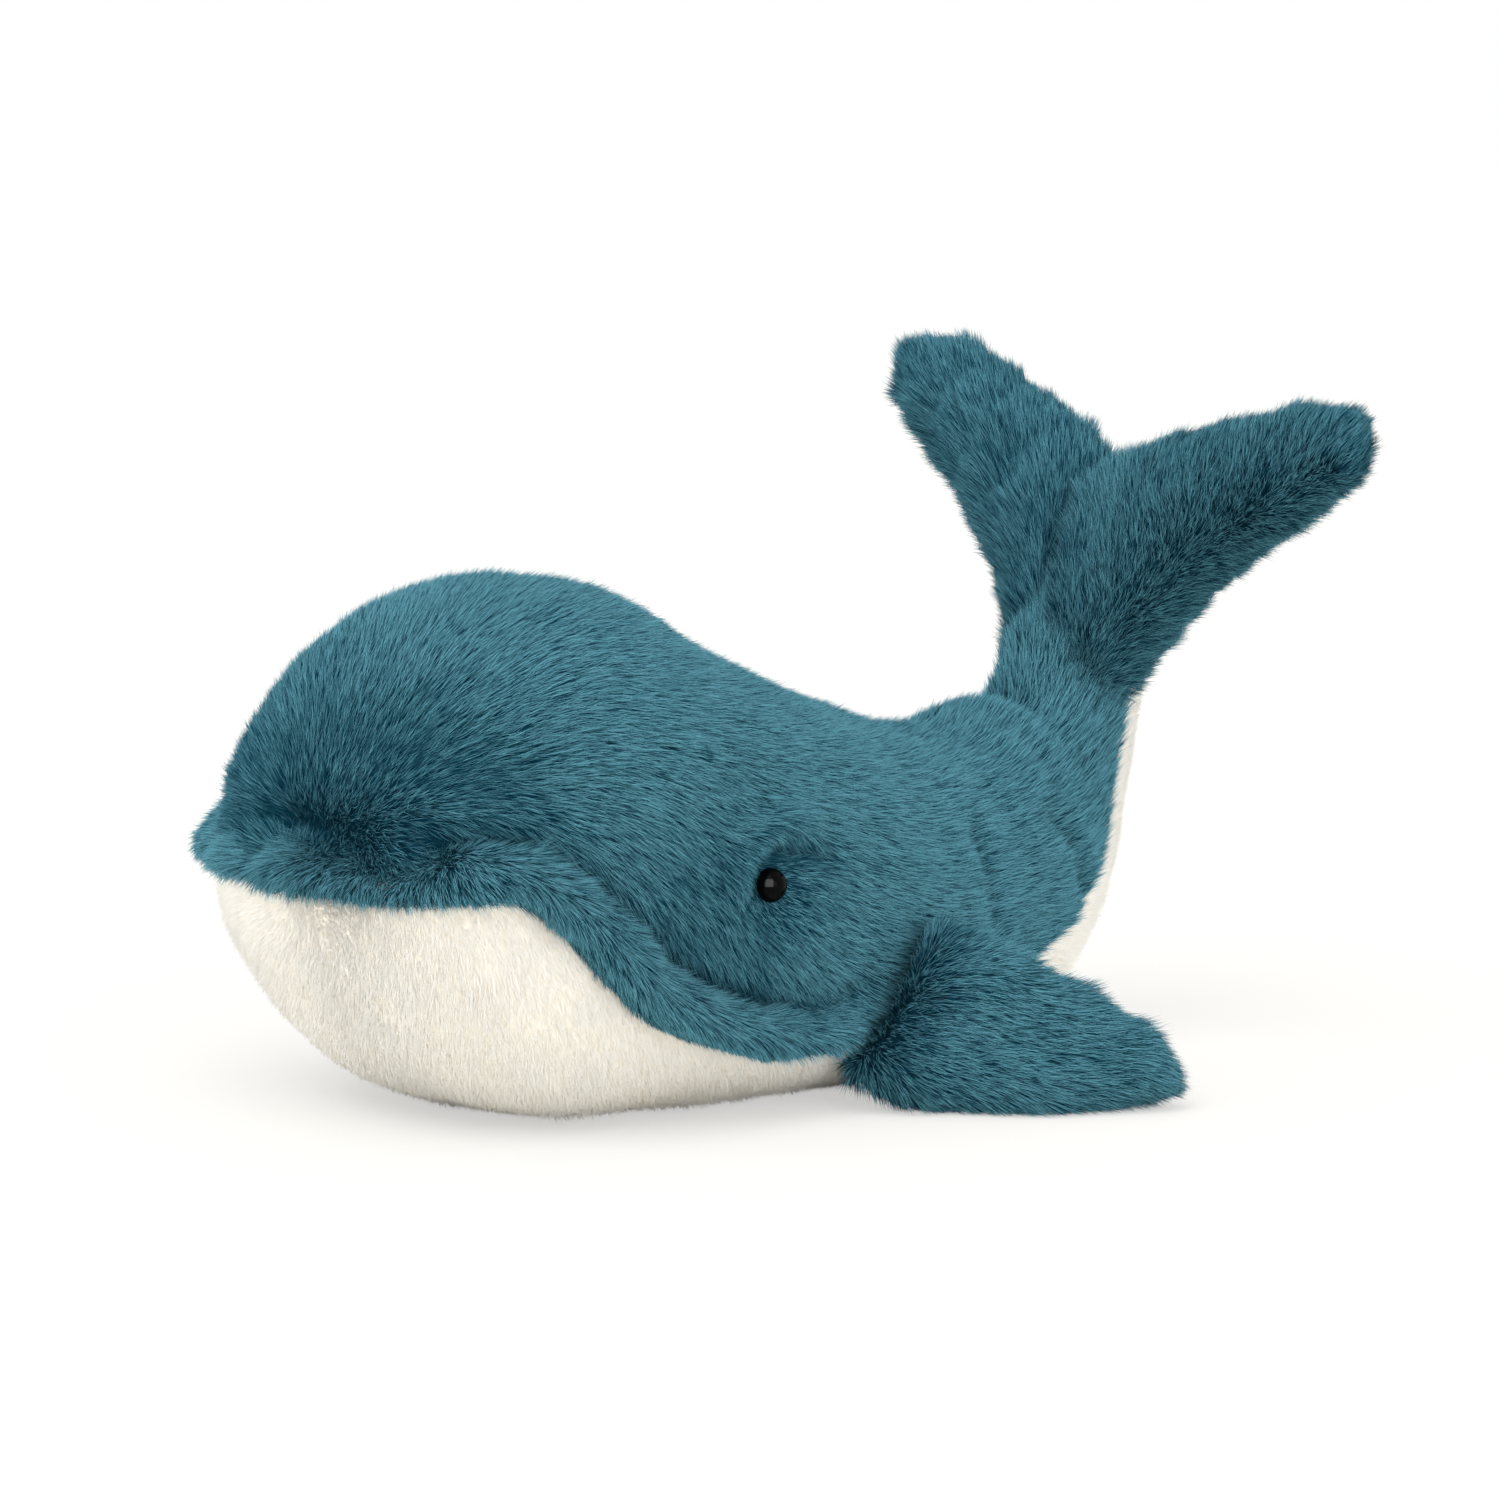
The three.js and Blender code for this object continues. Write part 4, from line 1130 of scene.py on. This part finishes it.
    # Painted shade darkens the lip where it turns in to the face.
    tone = tone - LIP_INNER_PAINTED_SHADE * rise_between(-inward, *LIP_PAINTED_SHADE_FACING)
    keep = 1 - LIP_INNER_BARE * rise_between(-inward, *LIP_BARE_FACING)
    rng = np.random.default_rng(90)
    for piece in grow("lip_roll_fur", cover, columns, rng, flow, length, uneven(lumps, *LIP_LEAN), tone, keep,
                      blue, "root", lock=1.4, pull=0.42):
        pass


# The eyes and their washers.


def grain(nodes, links, scale, low, high, socket):
    """Feeds a socket with a fine grain between two colours."""
    noise = nodes.new("ShaderNodeTexNoise")
    noise.inputs["Scale"].default_value = scale
    colour_run(nodes, links, noise.outputs["Fac"], low, high, socket)


def gloss_black():
    """The polished plastic of the eyes."""
    material, nodes, links = new_material("gloss_black_eye")
    shader = nodes["Principled BSDF"]
    grain(nodes, links, 900, (0.05, 0.05, 0.05), (0.13, 0.13, 0.13), shader.inputs["Roughness"])
    set_inputs(shader, {"Base Color": (*EYE_BLACK, 1), "Specular IOR Level": EYE_SPECULAR})
    return material


def eye_profile():
    """Half of an eye's outline from its back to its top, in millimetres."""
    radius = EYE_DIAMETER / 2
    edge = radius - EYE_EDGE_ROUND
    height = EYE_DOME_HEIGHT - EYE_EDGE_LEVEL
    rim = [(edge + EYE_EDGE_ROUND * math.sin(a), EYE_EDGE_LEVEL - EYE_EDGE_ROUND * math.cos(a))
           for a in np.linspace(0, QUARTER_TURN, 6)]
    dome = [(radius * math.cos(a), EYE_EDGE_LEVEL + height * math.sin(a))
            for a in np.linspace(0.06, QUARTER_TURN, 22)]
    return [*EYE_SHANK, *rim, *dome]


def dress_eyes():
    """Both eyes, each with its shank."""
    material = gloss_black()
    angle = 2 * math.pi * np.arange(EYE_COLUMNS) / EYE_COLUMNS
    rings = np.array([[(r * math.cos(a), r * math.sin(a), h) for a in angle] for r, h in eye_profile()])
    faces = Cover(rings).faces(np.arange(EYE_COLUMNS))
    for side, name in ((1, "left_eye"), (-1, "right_eye")):
        normal = eye_normal * (side, 1, 1)
        at = to_row(eye_point * (side, 1, 1)) - normal * EYE_SINK * MM
        turn = np.array(Vector((0, 0, 1)).rotation_difference(Vector(normal)).to_matrix())
        points = rings.reshape(-1, 3) @ turn.T * MM + at
        piece = mesh_object(f"{name}_dome", points, faces, material)
        draft = bmesh.new()
        draft.from_mesh(piece.data)
        bmesh.ops.remove_doubles(draft, verts=draft.verts, dist=JOIN_EYE * MM)
        bmesh.ops.recalc_face_normals(draft, faces=draft.faces)
        draft.to_mesh(piece.data)
        draft.free()
        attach(piece, "root")
        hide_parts(name)


def washer_plastic():
    """Plain white plastic on the washers, which are hidden in the head."""
    material, nodes, links = new_material("plain_washer")
    shader = nodes["Principled BSDF"]
    grain(nodes, links, 700, (0.66, 0.66, 0.64), (0.74, 0.74, 0.72), shader.inputs["Base Color"])
    shader.inputs["Roughness"].default_value = WASHER_ROUGHNESS
    for name in ("left_eye_washer", "right_eye_washer"):
        frame["nodes"][name].data.materials.clear()
        frame["nodes"][name].data.materials.append(material)


# The floor, the light and the camera.


def either(nodes, links, first, second):
    """1 where one of two values is 1, else 0."""
    added = nodes.new("ShaderNodeMath")
    added.operation = "ADD"
    added.use_clamp = True
    links.new(first, added.inputs[0])
    links.new(second, added.inputs[1])
    return added.outputs[0]


def choice(nodes, links, test, where_not, where_so):
    """One shader where a test holds, and another where it doesn't."""
    mix = nodes.new("ShaderNodeMixShader")
    links.new(test, mix.inputs["Fac"])
    links.new(where_not.outputs[0], mix.inputs[1])
    links.new(where_so.outputs[0], mix.inputs[2])
    return mix.outputs[0]


def shader_node(nodes, kind, colour, **more):
    """A shader of one colour."""
    made = nodes.new(kind)
    set_inputs(made, {"Color": (*colour, 1), **more})
    return made


def floor_material():
    """White, and a little bright to the camera, so that it runs into the background."""
    material, nodes, links = new_material("floor")
    nodes.clear()
    plain = shader_node(nodes, "ShaderNodeBsdfDiffuse", FLOOR_WHITE)
    pale = shader_node(nodes, "ShaderNodeBsdfDiffuse", FLOOR_SEEN)
    glow = shader_node(nodes, "ShaderNodeEmission", FLOOR_GLOW, Strength=FLOOR_GLOW_STRENGTH)
    lit = nodes.new("ShaderNodeAddShader")
    links.new(pale.outputs[0], lit.inputs[0])
    links.new(glow.outputs[0], lit.inputs[1])
    path = nodes.new("ShaderNodeLightPath")
    seen = either(nodes, links, path.outputs["Is Camera Ray"], path.outputs["Is Glossy Ray"])
    output = nodes.new("ShaderNodeOutputMaterial")
    links.new(choice(nodes, links, seen, plain, lit), output.inputs["Surface"])
    return material


def stage():
    """A white floor, so wide that its edge doesn't show."""
    corners = np.array([(-1, -1, 0), (1, -1, 0), (1, 1, 0), (-1, 1, 0)]) * FLOOR_HALF
    floor = mesh_object("floor", corners, np.array([(0, 1, 2, 3)]), floor_material())


def world():
    """An even white room, a little brighter where the camera sees it."""
    made = bpy.data.worlds.new("studio")
    bpy.context.scene.world = made
    made.use_nodes = True
    nodes, links = made.node_tree.nodes, made.node_tree.links
    nodes.clear()
    ambient = shader_node(nodes, "ShaderNodeBackground", (1, 1, 1), Strength=ROOM_LIGHT)
    white = shader_node(nodes, "ShaderNodeBackground", (1, 1, 1), Strength=1)
    path = nodes.new("ShaderNodeLightPath")
    seen = either(nodes, links, path.outputs["Is Camera Ray"], path.outputs["Is Transmission Ray"])
    seen = either(nodes, links, seen, path.outputs["Is Glossy Ray"])
    output = nodes.new("ShaderNodeOutputWorld")
    links.new(choice(nodes, links, seen, ambient, white), output.inputs["Surface"])


def aimed(name, data, place, way):
    """A light or a camera that looks one way from its place."""
    made = bpy.data.objects.new(name, data)
    made.location = place
    made.rotation_mode = "QUATERNION"
    made.rotation_quaternion = way.to_track_quat("-Z", "Y")
    bpy.context.scene.collection.objects.link(made)
    return made


def bearing(azimuth, elevation):
    """The way to a light or the camera: degrees round from the nose to the left, and up."""
    a, e = math.radians(azimuth), math.radians(elevation)
    return Vector((math.sin(a) * math.cos(e), -math.cos(a) * math.cos(e), math.sin(e)))


def sun(name, azimuth, elevation, spread, strength):
    """A broad soft light from far away."""
    light = bpy.data.lights.new(name, "SUN")
    light.angle = math.radians(spread)
    light.energy = strength
    aimed(name, light, (0, 0, 0), -bearing(azimuth, elevation))


def lamp(name, place, aim, size, energy):
    """A large panel that shines on one spot. It shows in what is glossy and lights nothing else."""
    light = bpy.data.lights.new(name, "AREA")
    light.shape = "RECTANGLE"
    light.size, light.size_y = size
    light.energy = energy
    aimed(name, light, place, Vector(aim) - Vector(place)).visible_diffuse = False


def lights():
    """Three soft suns, and the panel that shows in the eyes."""
    sun("key", azimuth=30, elevation=58, spread=50, strength=1.36)
    sun("fill", azimuth=82, elevation=6, spread=60, strength=1.6)
    sun("side", azimuth=-20, elevation=5, spread=60, strength=0.95)
    lamp("softbox", place=(2.1, -1.45, 0.72), aim=(0.06, -0.03, 0.065), size=(3.0, 3.3), energy=800)


def camera():
    """The camera, as fitted to the photo."""
    back = bearing(CAMERA_AZIMUTH, CAMERA_ELEVATION)
    data = bpy.data.cameras.new("camera")
    data.sensor_width = 36
    data.lens = CAMERA_LENS
    data.clip_start = CAMERA_CLIP
    place = Vector(to_row(CAMERA_TARGET)) + back * CAMERA_DISTANCE
    bpy.context.scene.camera = aimed("camera", data, place, -back)


dress_trunk()
dress_fluke()
dress_flippers()
dress_lip()
dress_eyes()
washer_plastic()
stage()
world()
lights()
camera()
bpy.context.scene.view_settings.view_transform = "Standard"
